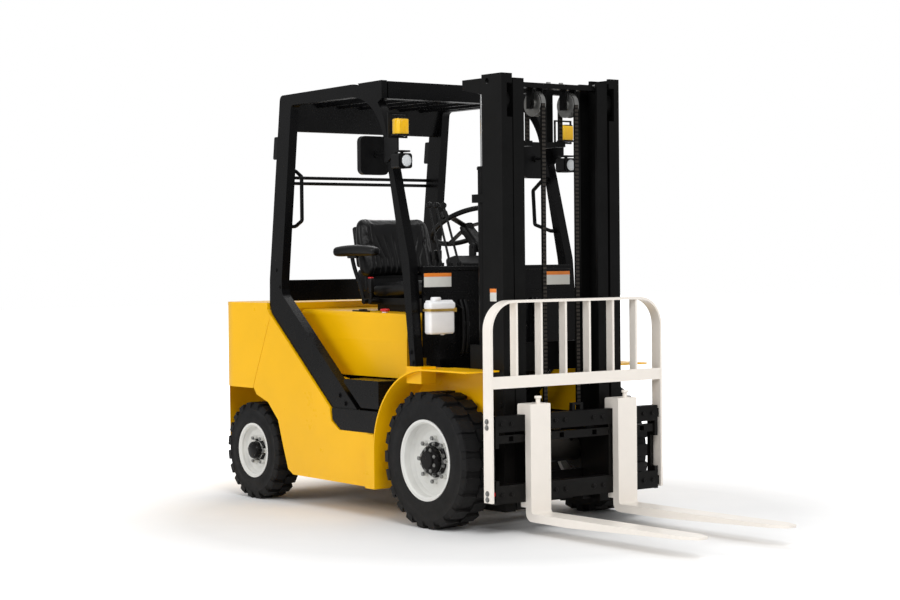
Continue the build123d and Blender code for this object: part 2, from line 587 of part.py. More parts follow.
def build_floor():
    """Floor plate, two-tier steps each side, cowl with toe board, and the dash with its column."""
    width = FENDER_INNER_Y - 2
    floor = block(-396, -232, -width, width, FLOOR_Z - FLOOR_T, FLOOR_Z)
    toe = side_slab([(-238, FLOOR_Z - FLOOR_T), (-232, FLOOR_Z - FLOOR_T), (-140, 800), (-140, 812), (-148, 812),
                     (-148, 804), (-238, FLOOR_Z)], -width, width)
    save("floor_plate", fuse([floor, toe]))
    steps = []
    for side in (-1, 1):
        def span(a, b):
            return sorted((side * a, side * b))
        low = side_slab([(-844, 474), (-772, 424 + SOFT_GAP), (-448, 424 + SOFT_GAP), (-448, LEG_FOOT_Z),
                         (-852, LEG_FOOT_Z)],
                        *span(INNER_HALF_W + 2, BODY_HALF_W - 4), [18, 40, 4, 4, 8])
        high = side_slab([(-600, 546), (-448, 546), (-448, FLOOR_Z - 4), (-770, FLOOR_Z - 4)],
                         *span(INNER_HALF_W + 2, GUARD_CENTRE_Y + GUARD_W / 2), [10, 10, 12, 12])
        high -= side_slab([(-900, 760), (-900, 500), (-590, 500), (-822, FLOOR_Z + 20)],
                          *span(GUARD_CENTRE_Y - GUARD_W / 2 - 4, BODY_HALF_W))
        neck = block(-590, -460, *span(INNER_HALF_W + 20, BODY_HALF_W - 70), 530, 550)
        steps.append(fuse([low, high, neck]))
    save("steps", *steps)


def build_cowl():
    """The cowl across the front of the cab, with a dash pod, steering column, wheel, levers and pedals."""
    half = GUARD_CENTRE_Y - GUARD_W / 2 - 3
    panel = block(-150, -140, -half, half, 812, COWL_TOP_Z)
    rim = fillet(block(-190, -136, -half, half, COWL_TOP_Z - 26, COWL_TOP_Z).edges().filter_by(Axis.Y), 8)
    ledge = block(-152, -134, -half, half, 1118, 1132)
    wings = [block(-148, -140, *sorted((s * (FENDER_INNER_Y - 2), s * (GUARD_CENTRE_Y - 50))), FENDER_TOP_Z, 812)
             for s in (-1, 1)]
    save("cowl", fuse([panel, rim, ledge] + wings))
    top = COWL_TOP_Z
    pod = [(-190 - SOFT_GAP, top - 108), (-190 - SOFT_GAP, top + 10), (-250, top + 52), (-330, top + 34),
           (-300, top - 78)]
    dash = side_slab(pod, -190, 190, [8, 20, 24, 16, 20])
    foot = block(-300, -152 - SOFT_GAP, -70, 70, top - 158, top - 78)
    pivot_x, pivot_z = COLUMN_PIVOT
    ears = []
    for y in sorted((-58, 44)):
        ear = block(pivot_x - 22, pivot_x + 22, y, y + 14, top + 10, pivot_z)
        ear += y_cylinder(pivot_x, pivot_z, 22, y, y + 14)
        ears.append(ear - y_cylinder(pivot_x, pivot_z, 8 + RUN_GAP, y - 1, y + 15))
    save("dash", fuse([dash, foot] + ears))
    save("steering_wheel", steering_wheel() + steering_column())


def steering_column():
    """The column from its tilt pivot to the wheel's hub: a pin, a knuckle and a tapering shroud."""
    low = (COLUMN_PIVOT[0], 0, COLUMN_PIVOT[1])
    high = (STEER_HUB[0] + 18, 0, STEER_HUB[1] - 26)
    axis = Vector(*high) - Vector(*low)
    start = Plane(origin=low, x_dir=(0, 1, 0), z_dir=axis).offset(4)
    end = Plane(origin=high, x_dir=(0, 1, 0), z_dir=axis)
    shroud = loft([start * RectangleRounded(80, 56, 20), end * RectangleRounded(66, 56, 20)])
    knuckle = y_cylinder(*COLUMN_PIVOT, COLUMN_HUB_R, -42, 42)
    return shroud + knuckle + y_cylinder(*COLUMN_PIVOT, 8, -60, 60)


def steering_wheel():
    """A three-spoke wheel with a spinner knob, on the tilted column."""
    plane = Plane(origin=(STEER_HUB[0], 0, STEER_HUB[1]), x_dir=(0, 1, 0),
                  z_dir=(-math.sin(math.radians(STEER_RAKE)), 0, math.cos(math.radians(STEER_RAKE))))
    ring = plane * Torus(STEER_WHEEL_R, 13)
    hub = plane * Pos(0, 0, -18) * Cylinder(36, 34)
    spokes = [plane * Rot(0, 0, 90 + 120 * i) * Pos(STEER_WHEEL_R / 2, 0, -6) * Box(STEER_WHEEL_R, 26, 8)
              for i in range(3)]
    knob = plane * Rot(0, 0, 200) * Pos(STEER_WHEEL_R, 0, 26) * Cylinder(18, 34)
    return fuse([ring, hub, knob] + spokes)


def build_controls():
    """Hydraulic levers on the cowl, the travel lever, pedals, the brake reservoir and the two caps."""
    levers = []
    for i in range(3):
        y = -340 + 55 * i
        top = (-262 - 14 * i, y, 1560)
        levers.append(fuse([bar_between((-168, y, COWL_TOP_Z + 6), top, 6), Pos(*top) * Sphere(16),
                            z_cylinder(-168, y, 14, COWL_TOP_Z + SOFT_GAP, COWL_TOP_Z + 16)]))
    pedals = []
    for y, w in ((-190, 60), (60, 80), (170, 60)):
        pad = Pos(-262, y, 790) * Rot(0, -48, 0) * Box(120, w, 10)
        arm = bar_between((-262, y, 790), (-160, y, 870), 7)
        base = block(-166, -150 - SOFT_GAP, y - 14, y + 14, 850, 890)
        pedals.append(fuse([pad, arm, base]))
    save("controls", *levers, *pedals)
    tank = fillet(block(-139.7, -80, -476, -370, 940, 1060).edges().filter_by(Axis.Z), 14)
    tank = fuse([tank, fillet(block(-139.7, -78, -478, -368, 1040, 1082).edges().filter_by(Axis.Z), 14)])
    cap = z_cylinder(-110, -420, 24, 1082, 1100)
    save("brake_reservoir", tank + cap)


def channel(half, web, reach, x0, x1, z0, z1, side):
    """One C-section rail opening towards the middle of the mast."""
    def span(a, b):
        return sorted((side * a, side * b))
    shapes = [block(x0, x1, *span(half - web, half), z0, z1),
              block(x0, x0 + FLANGE_T, *span(half - reach, half), z0, z1),
              block(x1 - FLANGE_T, x1, *span(half - reach, half), z0, z1)]
    return fuse(shapes)


def build_mast_outer():
    """Outer mast: rails, ties, axle rings, tilt ears, cylinder feet, chain anchors and top rollers."""
    web_in = MAST_HALF_W - OUTER_WEB_T
    axle_x, axle_z = DRIVE_AXLE
    eye_x, eye_z = TILT_EYE
    shapes = []
    for side in (-1, 1):
        def span(a, b):
            return sorted((side * a, side * b))
        rail = channel(MAST_HALF_W, OUTER_WEB_T, OUTER_FLANGE_W, MAST_REAR_X, MAST_FRONT_X,
                       MAST_BOTTOM_Z, MAST_TOP_Z, side)
        rail -= block(MAST_FRONT_X - 20, MAST_FRONT_X + 1, *span(300, 340), 1960, 2120)
        rail -= y_cylinder(MAST_REAR_X + 42, MAST_TOP_Z - 32, LIFT_EYE_R, *span(web_in - 5, MAST_HALF_W + 5))
        shapes.append(rail)
        cheek = side_slab([(axle_x, axle_z - 88), (130, 150), (MAST_REAR_X + 2, 150), (MAST_REAR_X + 2, 480),
                           (150, 480), (axle_x, axle_z + 88)], *span(web_in, MAST_HALF_W))
        ring = y_cylinder(axle_x, axle_z, 88, *span(web_in, MAST_HALF_W))
        shapes.append(cheek + ring - y_cylinder(axle_x, axle_z, AXLE_TUBE_R + RUN_GAP, *span(300, 400)))
        shapes.append(block(96, MAST_REAR_X + 2, *span(web_in, MAST_HALF_W), 740, 880))
        shapes.append(side_slab([(52, 2102), (MAST_REAR_X + 2, 2072), (MAST_REAR_X + 2, 2150), (52, 2150)],
                                *span(web_in, MAST_HALF_W), [10, 0, 0, 10]))
        shapes.append(block(118, MAST_REAR_X + 2, *span(240, MAST_HALF_W), MAST_BOTTOM_Z, MAST_BOTTOM_Z + 25))
        for inner in (TILT_CYL_Y - 36, TILT_CYL_Y + 22):
            ear = y_cylinder(eye_x, eye_z, 32, *span(inner, inner + 14))
            ear += block(eye_x, 98, *span(inner, inner + 14), eye_z - 32, eye_z + 32)
            shapes.append(ear)
        shapes.append(y_cylinder(eye_x, eye_z, TILT_PIN_R, *span(TILT_CYL_Y - 38, TILT_CYL_Y + 38)))
        shapes.append(block(96, 140, *span(PULLEY_Y - 20, PULLEY_Y + 20), ANCHOR_Z - 26, 2150))
        shapes.append(block(100, 232, *span(PULLEY_Y - 20, PULLEY_Y + 20), ANCHOR_Z - 26, ANCHOR_Z))
        shapes.append(y_cylinder(PULLEY_X, 2040, ROLLER_R, *span(INNER_HALF + 6, web_in + 1)))
        shapes.append(block(118, MAST_REAR_X + 2, *span(LIFT_CYL_Y + 20, MAST_HALF_W), 1560, 1600))
    shapes.append(block(96, 120, -MAST_HALF_W, MAST_HALF_W, 740, 880))
    shapes.append(block(118, 140, -250, 250, MAST_BOTTOM_Z, 230))
    shapes.append(block(52, 98, -MAST_HALF_W, MAST_HALF_W, 2102, 2150))
    save("mast_outer", fuse(shapes + pair(lift_barrel())))


def build_mast_inner():
    """Inner mast: rails with guide rollers, cross members, chain pulley brackets and rod brackets."""
    shapes = []
    x0, x1 = PULLEY_X - 70, PULLEY_X + 70
    for side in (-1, 1):
        def span(a, b):
            return sorted((side * a, side * b))
        shapes.append(channel(INNER_HALF, INNER_WEB_T, INNER_FLANGE_W, x0, x1, MAST_BOTTOM_Z + 5,
                              INNER_TOP_Z, side))
        for z in (200, 400):
            shapes.append(y_cylinder(PULLEY_X, z, ROLLER_R, *span(INNER_HALF + 6, 354)))
            shapes.append(y_cylinder(PULLEY_X, z, 22, *span(INNER_HALF - 2, INNER_HALF + 8)))
        for y in (PULLEY_Y - 35, PULLEY_Y + 25):
            plate = block(PULLEY_X - 22, PULLEY_X + 22, *span(y, y + 10), PULLEY_Z - 24, 2112)
            shapes.append(plate)
        shapes.append(y_cylinder(PULLEY_X, PULLEY_Z, 16, *span(PULLEY_Y - 38, PULLEY_Y + 38)))
        shapes.append(block(138, x0 + 2, *span(240, INNER_HALF), 2080, 2104))
        shapes.append(block(138, MAST_REAR_X - STAGE_GAP / 2, *span(INNER_HALF - 10, LIFT_CYL_Y + 22),
                            2080, 2104))
    shapes.append(block(PULLEY_X - 22, PULLEY_X + 50, -INNER_HALF, INNER_HALF, 2107, 2130))
    shapes.append(block(x0, x0 + FLANGE_T, -INNER_HALF, INNER_HALF, 150, 250))
    save("mast_inner", fuse(shapes))
    sheave = y_cylinder(PULLEY_X, PULLEY_Z, PULLEY_R, PULLEY_Y - 18.5, PULLEY_Y + 18.5)
    sheave -= y_cylinder(PULLEY_X, PULLEY_Z, PULLEY_R + 5, PULLEY_Y - 13, PULLEY_Y + 13)
    sheave += y_cylinder(PULLEY_X, PULLEY_Z, GROOVE_R, PULLEY_Y - 18.5, PULLEY_Y + 18.5)
    sheave += y_cylinder(PULLEY_X, PULLEY_Z, 26, PULLEY_Y - 25, PULLEY_Y + 25)
    sheave -= y_cylinder(PULLEY_X, PULLEY_Z, 16 + RUN_GAP, PULLEY_Y - 30, PULLEY_Y + 30)
    arc = y_cylinder(PULLEY_X, PULLEY_Z, GROOVE_R + SOFT_GAP + CHAIN_T, PULLEY_Y - 11, PULLEY_Y + 11)
    arc -= y_cylinder(PULLEY_X, PULLEY_Z, GROOVE_R + SOFT_GAP, PULLEY_Y - 12, PULLEY_Y + 12)
    arc &= block(0, 2 * PULLEY_X, 0, 2 * PULLEY_Y, PULLEY_Z, PULLEY_Z + 100)
    save("chain_pulleys", *pair(sheave), *pair(arc))


def lift_barrel():
    """One lift cylinder: a closed barrel with a gland bored for its rod."""
    foot = MAST_BOTTOM_Z + 20
    barrel = z_cylinder(LIFT_CYL_X, LIFT_CYL_Y, LIFT_CYL_R, foot, 1720)
    barrel -= z_cylinder(LIFT_CYL_X, LIFT_CYL_Y, LIFT_CYL_R - 6, foot + 18, 1700)
    return barrel - z_cylinder(LIFT_CYL_X, LIFT_CYL_Y, LIFT_ROD_R + RUN_GAP, 1650, 1721)


def build_lift_rods():
    """The rods of the lift cylinders, under the brackets of the inner mast."""
    rod = z_cylinder(LIFT_CYL_X, LIFT_CYL_Y, LIFT_ROD_R, 142, 2080)
    save("lift_rods", rod, mirrored(rod))


def leaf_chain(x, z0, z1):
    """A run of leaf chain as one strip with notched edges, across a pulley's width."""
    run = block(x - CHAIN_T / 2, x + CHAIN_T / 2, PULLEY_Y - 11, PULLEY_Y + 11, z0, z1)
    return run


def build_chains():
    """Front runs from the pulleys to the carriage and rear runs down to the anchors on the outer mast."""
    front = leaf_chain(CHAIN_FRONT_X, CARRIAGE_ANCHOR_Z, PULLEY_Z)
    rear = leaf_chain(CHAIN_REAR_X, ANCHOR_Z, PULLEY_Z)
    save("chains_front", front, mirrored(front))
    save("chains_rear", rear, mirrored(rear))


def build_carriage():
    """The fork carriage: bars, end plates with windows, roller plates and rollers, chain anchors."""
    front = CARRIAGE_FRONT_X
    back = front - 44.5
    half = CARRIAGE_HALF_W
    shapes = [block(back, front, -half, half, 486, 562), block(back, front, -half, half, 153, 238)]
    second = block(back + 5, front - 8, -half, half, 433, 471)
    for i in range(9):
        y = (i - 4) * 104
        if abs(y) > 10:
            second -= block(back, front, y - 14, y + 14, 440, 464)
    shapes.append(second)
    roller_plate = [(PULLEY_X - 30, 170), (back + 2, 153), (back + 2, 538), (PULLEY_X - 30, 538)]
    for side in (-1, 1):
        def span(a, b):
            return sorted((side * a, side * b))
        window = block(back - 5, front + 5, *span(half - 25, half + 5), 262, 412)
        plate = block(back - 10, front, *span(half - 20, half), 151, 547)
        shapes.append(plate - Pos(18, 0, 0) * window)
        shapes.append(side_slab(roller_plate, *span(212, 226), [30, 0, 0, 30]))
        shapes.append(block(back, front - 8, *span(196, 232), 236, 488))
        for z in (215, 490):
            shapes.append(y_cylinder(PULLEY_X, z, CARRIAGE_ROLLER_R, *span(238, 279)))
            shapes.append(y_cylinder(PULLEY_X, z, 20, *span(224, 240)))
        shapes.append(block(CHAIN_FRONT_X - 14, back + 6, *span(PULLEY_Y - 24, PULLEY_Y + 24),
                            CARRIAGE_ANCHOR_Z - 38, CARRIAGE_ANCHOR_Z))
        for z in (190, 524):
            shapes.append(x_pad(side, z))
    loop = block(back + 12, front - 10, -34, 34, 560, 600) - block(back, front, -16, 16, 566, 590)
    shapes.append(loop)
    save("carriage", fuse(shapes))


def x_pad(side, z):
    """A spacer between an end plate of the carriage and a leg of the load backrest."""
    y = sorted((side * CARRIAGE_HALF_W, side * (BACKREST_HALF_W - BACKREST_BAR_T)))
    return block(CARRIAGE_FRONT_X - 40, CARRIAGE_FRONT_X - 8, *y, z - 22, z + 22)


def build_backrest():
    """The load backrest: a bent flat-bar hoop, a cross bar and upright bars."""
    x0 = CARRIAGE_FRONT_X - BACKREST_BAR_D + 5
    x1 = CARRIAGE_FRONT_X + 5
    start = Plane(origin=(x0, 0, 0), x_dir=(0, 1, 0), z_dir=(1, 0, 0))
    outer, inner = [start * Pos(0, (160 + BACKREST_TOP_Z) / 2 - t / 2) *
                    Rectangle(2 * (BACKREST_HALF_W - t), BACKREST_TOP_Z - 160 - t) for t in (0, BACKREST_BAR_T)]
    hoop = extrude(outer, x1 - x0)
    hoop = fillet(hoop.edges().filter_by(Axis.X).group_by(Axis.Z)[-1], BACKREST_R)
    hollow = extrude(inner, x1 - x0)
    hollow = fillet(hollow.edges().filter_by(Axis.X).group_by(Axis.Z)[-1], BACKREST_R - BACKREST_BAR_T)
    inner_half = BACKREST_HALF_W - BACKREST_BAR_T
    bar = block(x1 - 14, x1 - 2, -inner_half - 2, inner_half + 2, 689, 745)
    pitch = 2 * inner_half / (BACKREST_BARS + 1)
    uprights = [block(x1 - 52, x1 - 8, y - 6, y + 6, 740, BACKREST_TOP_Z - BACKREST_BAR_T + 2)
                for y in [(i - (BACKREST_BARS - 1) / 2) * pitch for i in range(BACKREST_BARS)]]
    save("load_backrest", fuse([hoop - hollow, bar] + uprights))


def build_forks():
    """Two forks: tapered blade, heel, shank and hooks over the carriage bars, with a latch pin on top."""
    face, back, top = FORK_FACE_X, FORK_FACE_X - FORK_T, FORK_TOP_Z
    outline = [(back, 62), (760, 60), (FORK_TIP_X, top - 12), (FORK_TIP_X, top), (face, top),
               (face, FORK_SHANK_TOP_Z), (404, FORK_SHANK_TOP_Z), (404, 545), (CARRIAGE_FRONT_X - 46, 545),
               (CARRIAGE_FRONT_X - 46, 562), (back, 562), (back, 152.5), (424, 152.5), (424, 126), (back, 126)]
    radii = [42, 0, 4, 4, 14, 6, 10, 2, 0, 0, 0, 0, 4, 6, 0]
    y0, y1 = FORK_Y - FORK_W / 2, FORK_Y + FORK_W / 2
    fork = side_slab(outline, y0, y1, radii)
    plan = [(300, y0), (FORK_TIP_X - 90, y0), (FORK_TIP_X, y0 + 34), (FORK_TIP_X, y1 - 34),
            (FORK_TIP_X - 90, y1), (300, y1)]
    fork &= extrude(make_face(FilletPolyline(*plan, radius=[0, 60, 22, 22, 60, 0], close=True)), 700)
    latch = z_cylinder(face - 18, FORK_Y, 11, FORK_SHANK_TOP_Z - 2, FORK_SHANK_TOP_Z + 26)
    knob = fillet((z_cylinder(face - 18, FORK_Y, 17, FORK_SHANK_TOP_Z + 24, FORK_SHANK_TOP_Z + 36)).edges(), 3)
    fork = fork + latch + knob
    save("forks", fork, mirrored(fork))


def along_tilt(shape):
    """Lay a shape made along +Z from the foot of the tilt cylinder onto its resting line."""
    rise = math.degrees(math.atan2(TILT_EYE[0] - TILT_FOOT[0], TILT_EYE[1] - TILT_FOOT[1]))
    return Pos(TILT_FOOT[0], TILT_CYL_Y, TILT_FOOT[1]) * Rot(0, rise, 0) * shape


def build_tilt_cylinders():
    """Tilt cylinders: barrels with foot pins in the frame, rods with eyes on the mast's pins."""
    length = math.dist(TILT_FOOT, TILT_EYE)
    barrel = Pos(0, 0, 216) * Cylinder(TILT_CYL_R, 348)
    barrel += Pos(0, 0, 25) * Box(40, 42, 50)
    barrel += Rot(90, 0, 0) * Cylinder(28, 42)
    barrel += Pos(0, 0, 380) * Cylinder(TILT_CYL_R + 5, 22)
    barrel -= Pos(0, 0, 215) * Cylinder(TILT_BORE_R, 310)
    barrel -= Pos(0, 0, 380) * Cylinder(TILT_ROD_R + RUN_GAP, 60)
    barrel += Rot(90, 0, 0) * Cylinder(TILT_PIN_R, 76)
    barrel = along_tilt(barrel)
    save("tilt_barrels", barrel, mirrored(barrel))
    rod = Pos(0, 0, (length + 200) / 2) * Cylinder(TILT_ROD_R, length - 200)
    rod += Pos(0, 0, 212) * Cylinder(TILT_BORE_R - RUN_GAP, 24)
    rod += Pos(0, 0, length) * Rot(90, 0, 0) * Cylinder(28, 42)
    rod += Pos(0, 0, length - 40) * Cylinder(TILT_ROD_R + 6, 40)
    rod -= Pos(0, 0, length) * Rot(90, 0, 0) * Cylinder(TILT_PIN_R + TILT_EYE_GAP, 60)
    rod = along_tilt(rod)
    save("tilt_rods", rod, mirrored(rod))


build_wheels()
build_axles()
build_frame()
build_body_sides()
build_counterweight()
build_hood()
build_seat()
build_engine()
build_guard()
build_lamps()
build_floor()
build_cowl()
build_controls()
build_mast_outer()
build_mast_inner()
build_lift_rods()
build_chains()
build_carriage()
build_backrest()
build_forks()
build_tilt_cylinders()
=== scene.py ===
import bpy
import bmesh
import math
from mathutils import Matrix, Vector


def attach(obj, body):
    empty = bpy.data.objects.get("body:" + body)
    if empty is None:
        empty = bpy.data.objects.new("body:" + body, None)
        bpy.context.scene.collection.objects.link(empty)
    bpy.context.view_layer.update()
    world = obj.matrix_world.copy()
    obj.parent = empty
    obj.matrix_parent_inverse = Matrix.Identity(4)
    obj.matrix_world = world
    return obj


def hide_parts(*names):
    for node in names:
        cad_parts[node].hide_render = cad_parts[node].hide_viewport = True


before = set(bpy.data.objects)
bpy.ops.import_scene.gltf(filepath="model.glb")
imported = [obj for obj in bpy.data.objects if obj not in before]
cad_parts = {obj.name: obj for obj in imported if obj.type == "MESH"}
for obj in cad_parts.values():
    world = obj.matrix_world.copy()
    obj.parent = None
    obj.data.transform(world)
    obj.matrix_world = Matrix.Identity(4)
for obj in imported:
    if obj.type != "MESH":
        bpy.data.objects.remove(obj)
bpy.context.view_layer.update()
scene = bpy.context.scene
# Places below are measured from the drive axle, which is this far along the frame's X, in metres
OX = 0.2475


def srgb(r, g, b):
    """Linear colour from an 8-bit colour."""
    return tuple(c / 12.92 if c <= 0.04045 else ((c + 0.055) / 1.055) ** 2.4
                 for c in (r / 255, g / 255, b / 255))


# Camera, fitted to the photograph: metres from the drive axle, angles, lens and sensor in mm
CAMERA_AT = (7.5403, -6.2426, 1.3029)
YAW, PITCH, ROLL = math.radians(142.319), math.radians(-1.2542), math.radians(-0.5487)
LENS, SENSOR = 78.94, 36


def make_camera():
    ahead = Vector((math.cos(YAW) * math.cos(PITCH), math.sin(YAW) * math.cos(PITCH),
                    math.sin(PITCH)))
    level = Vector((math.sin(YAW), -math.cos(YAW), 0))
    upright = level.cross(ahead)
    right = math.cos(ROLL) * level + math.sin(ROLL) * upright
    up = -math.sin(ROLL) * level + math.cos(ROLL) * upright
    data = bpy.data.cameras.new("camera")
    data.lens = LENS
    data.sensor_width = SENSOR
    data.sensor_fit = "HORIZONTAL"
    data.clip_end = 100
    cam = bpy.data.objects.new("camera", data)
    scene.collection.objects.link(cam)
    m = Matrix.Identity(4)
    for i, axis in enumerate((right, up, -ahead)):
        for j in range(3):
            m[j][i] = axis[j]
    m.translation = Vector((CAMERA_AT[0] + OX, CAMERA_AT[1], CAMERA_AT[2]))
    cam.matrix_world = m
    scene.camera = cam


def new_material(name):
    mat = bpy.data.materials.new(name)
    mat.use_nodes = True
    nodes, links = mat.node_tree.nodes, mat.node_tree.links
    return mat, nodes, links, nodes["Principled BSDF"]


def noise(nodes, links, coord, scale, detail=4, rough=0.55):
    tex = nodes.new("ShaderNodeTexNoise")
    tex.inputs["Scale"].default_value = scale
    tex.inputs["Detail"].default_value = detail
    tex.inputs["Roughness"].default_value = rough
    links.new(coord, tex.inputs["Vector"])
    return tex.outputs["Fac"]


def ramp(nodes, links, source, stops):
    node = nodes.new("ShaderNodeValToRGB")
    while len(node.color_ramp.elements) < len(stops):
        node.color_ramp.elements.new(0.5)
    for element, (pos, col) in zip(node.color_ramp.elements, stops):
        element.position = pos
        element.color = (*col, 1) if len(col) == 3 else (col[0], col[0], col[0], 1)
    links.new(source, node.inputs["Fac"])
    return node.outputs["Color"]


def bump(nodes, links, height, shader, strength, distance):
    node = nodes.new("ShaderNodeBump")
    node.inputs["Strength"].default_value = strength
    node.inputs["Distance"].default_value = distance
    links.new(height, node.inputs["Height"])
    links.new(node.outputs["Normal"], shader.inputs["Normal"])


def surface(name, colour, rough=(0.3, 0.4), metallic=0.0, coat=0.0, spread=0.06, scale=6.0,
            grain=220.0, grain_depth=0.0002, grain_strength=0.15, dust=None, specular=0.5):
    """A worn surface: colour and roughness drift, fine grain is in the bump, and dust gathers low.

    Dust is its amount at the floor, the height in metres where it ends, and its colour.
    """
    mat, nodes, links, bsdf = new_material(name)
    coord = nodes.new("ShaderNodeTexCoord").outputs["Object"]
    drift = noise(nodes, links, coord, scale, 5, 0.6)
    low = tuple(c * (1 - spread) for c in colour)
    high = tuple(min(1, c * (1 + spread)) for c in colour)
    tint = ramp(nodes, links, drift, [(0.3, low), (0.7, high)])
    if dust:
        amount, top, dust_colour = dust
        sep = nodes.new("ShaderNodeSeparateXYZ")
        links.new(coord, sep.inputs[0])
        fall = nodes.new("ShaderNodeMapRange")
        fall.inputs["From Min"].default_value = 0
        fall.inputs["From Max"].default_value = top
        fall.inputs["To Min"].default_value = amount
        fall.inputs["To Max"].default_value = 0
        links.new(sep.outputs["Z"], fall.inputs["Value"])
        spots = noise(nodes, links, coord, 11, 8, 0.65)
        gather = nodes.new("ShaderNodeMath")
        gather.operation = "MULTIPLY"
        links.new(fall.outputs["Result"], gather.inputs[0])
        links.new(spots, gather.inputs[1])
        mix = nodes.new("ShaderNodeMix")
        mix.data_type = "RGBA"
        links.new(gather.outputs[0], mix.inputs["Factor"])
        links.new(tint, mix.inputs["A"])
        mix.inputs["B"].default_value = (*dust_colour, 1)
        tint = mix.outputs["Result"]
    links.new(tint, bsdf.inputs["Base Color"])
    smear = noise(nodes, links, coord, scale * 2.3, 6, 0.7)
    links.new(ramp(nodes, links, smear, [(0.3, (rough[0],)), (0.7, (rough[1],))]),
              bsdf.inputs["Roughness"])
    bsdf.inputs["Metallic"].default_value = metallic
    bsdf.inputs["Coat Weight"].default_value = coat
    bsdf.inputs["Coat Roughness"].default_value = 0.08
    bsdf.inputs["Specular IOR Level"].default_value = specular
    bump(nodes, links, noise(nodes, links, coord, grain, 3, 0.5), bsdf, grain_strength, grain_depth)
    return mat


MATS = {
    "yellow": surface("yellow_paint", srgb(250, 190, 3), (0.26, 0.36), coat=0.06, spread=0.035,
                      scale=3, specular=0.25, dust=(0.07, 0.7, srgb(176, 142, 60))),
    "black": surface("black_paint", srgb(10, 10, 11), (0.22, 0.34), spread=0.2, scale=5,
                     specular=0.14, dust=(0.12, 0.9, srgb(64, 58, 52))),
    "mast": surface("mast_paint", srgb(11, 11, 11), (0.28, 0.42), spread=0.25, scale=8,
                    specular=0.12, dust=(0.14, 1.0, srgb(66, 60, 54))),
    "cream": surface("cream_paint", srgb(247, 240, 231), (0.3, 0.42), coat=0.15, spread=0.025,
                     scale=5, dust=(0.12, 0.5, srgb(176, 166, 150))),
    "casting": surface("grey_casting", srgb(30, 29, 28), (0.5, 0.7), spread=0.3, scale=14,
                       grain=90, grain_depth=0.0008, grain_strength=0.4,
                       dust=(0.5, 0.8, srgb(98, 88, 76))),
    "rim": surface("rim_paint", srgb(226, 226, 222), (0.32, 0.45), coat=0.1, spread=0.03, scale=9,
                   dust=(0.25, 0.6, srgb(150, 140, 124))),
    "tyre": surface("tyre_rubber", srgb(20, 20, 21), (0.5, 0.7), spread=0.25, scale=9, grain=300,
                    grain_depth=0.0004, grain_strength=0.3, dust=(0.16, 0.5, srgb(84, 78, 70)),
                    specular=0.16),
    "vinyl": surface("seat_vinyl", srgb(12, 12, 13), (0.3, 0.42), specular=0.25, spread=0.18,
                     scale=12, grain=420, grain_depth=0.0005, grain_strength=0.45),
    "plastic": surface("black_plastic", srgb(12, 12, 13), (0.34, 0.46), specular=0.2, spread=0.15,
                       scale=10, grain=500, grain_depth=0.0003, grain_strength=0.35),
    "steel": surface("worn_steel", srgb(142, 142, 140), (0.3, 0.45), metallic=0.9, spread=0.15,
                     scale=20, grain=160),
    "chrome": surface("rod_chrome", srgb(214, 214, 214), (0.08, 0.16), metallic=1.0, spread=0.04,
                      scale=12, grain_strength=0.05),
    "amber": surface("amber_lens", srgb(255, 198, 30), (0.1, 0.18), spread=0.08, scale=8, coat=0.6,
                     grain_strength=0.05),
    "red": surface("red_plastic", srgb(206, 26, 30), (0.25, 0.35), spread=0.08, scale=16),
    "white_tank": surface("tank_plastic", srgb(244, 244, 245), (0.35, 0.45), spread=0.04,
                          scale=14),
    "plate": surface("label_plate", srgb(214, 214, 208), (0.3, 0.4), spread=0.03, scale=30),
    "lens": surface("clear_lens", srgb(226, 230, 232), (0.06, 0.12), spread=0.03, scale=20,
                    coat=0.5, specular=0.8),
    "gold": surface("gold_strap", srgb(202, 166, 84), (0.3, 0.4), metallic=0.7, spread=0.1,
                    scale=30),
    "orange": surface("orange_band", srgb(236, 132, 44), (0.35, 0.45), spread=0.04, scale=30),
    "mirror": surface("mirror_glass", srgb(210, 214, 218), (0.03, 0.06), metallic=1.0, spread=0.02,
                      scale=6, grain_strength=0.0),
}
# A wave texture's scale for one band in each metre
BANDS = 0.314


def chain_surface():
    """Oiled leaf chain: link plates with pins between, from waves along and across the run."""
    mat, nodes, links, bsdf = new_material("oiled_chain")
    coord = nodes.new("ShaderNodeTexCoord").outputs["Object"]
    waves = []
    for axis, pitch in (("Z", 0.019), ("Y", 0.0055)):
        wave = nodes.new("ShaderNodeTexWave")
        wave.bands_direction = axis
        wave.inputs["Scale"].default_value = BANDS / pitch
        wave.inputs["Distortion"].default_value = 0
        links.new(coord, wave.inputs["Vector"])
        waves.append(wave.outputs["Fac"])
    plates = nodes.new("ShaderNodeMath")
    plates.operation = "MULTIPLY"
    links.new(waves[0], plates.inputs[0])
    links.new(waves[1], plates.inputs[1])
    links.new(ramp(nodes, links, plates.outputs[0],
                   [(0.08, srgb(8, 8, 8)), (0.4, srgb(70, 64, 58))]),
              bsdf.inputs["Base Color"])
    links.new(ramp(nodes, links, noise(nodes, links, coord, 90), [(0.3, (0.3,)), (0.7, (0.5,))]),
              bsdf.inputs["Roughness"])
    bsdf.inputs["Metallic"].default_value = 0.7
    bump(nodes, links, plates.outputs[0], bsdf, 0.8, 0.002)
    return mat


MATS["chain"] = chain_surface()

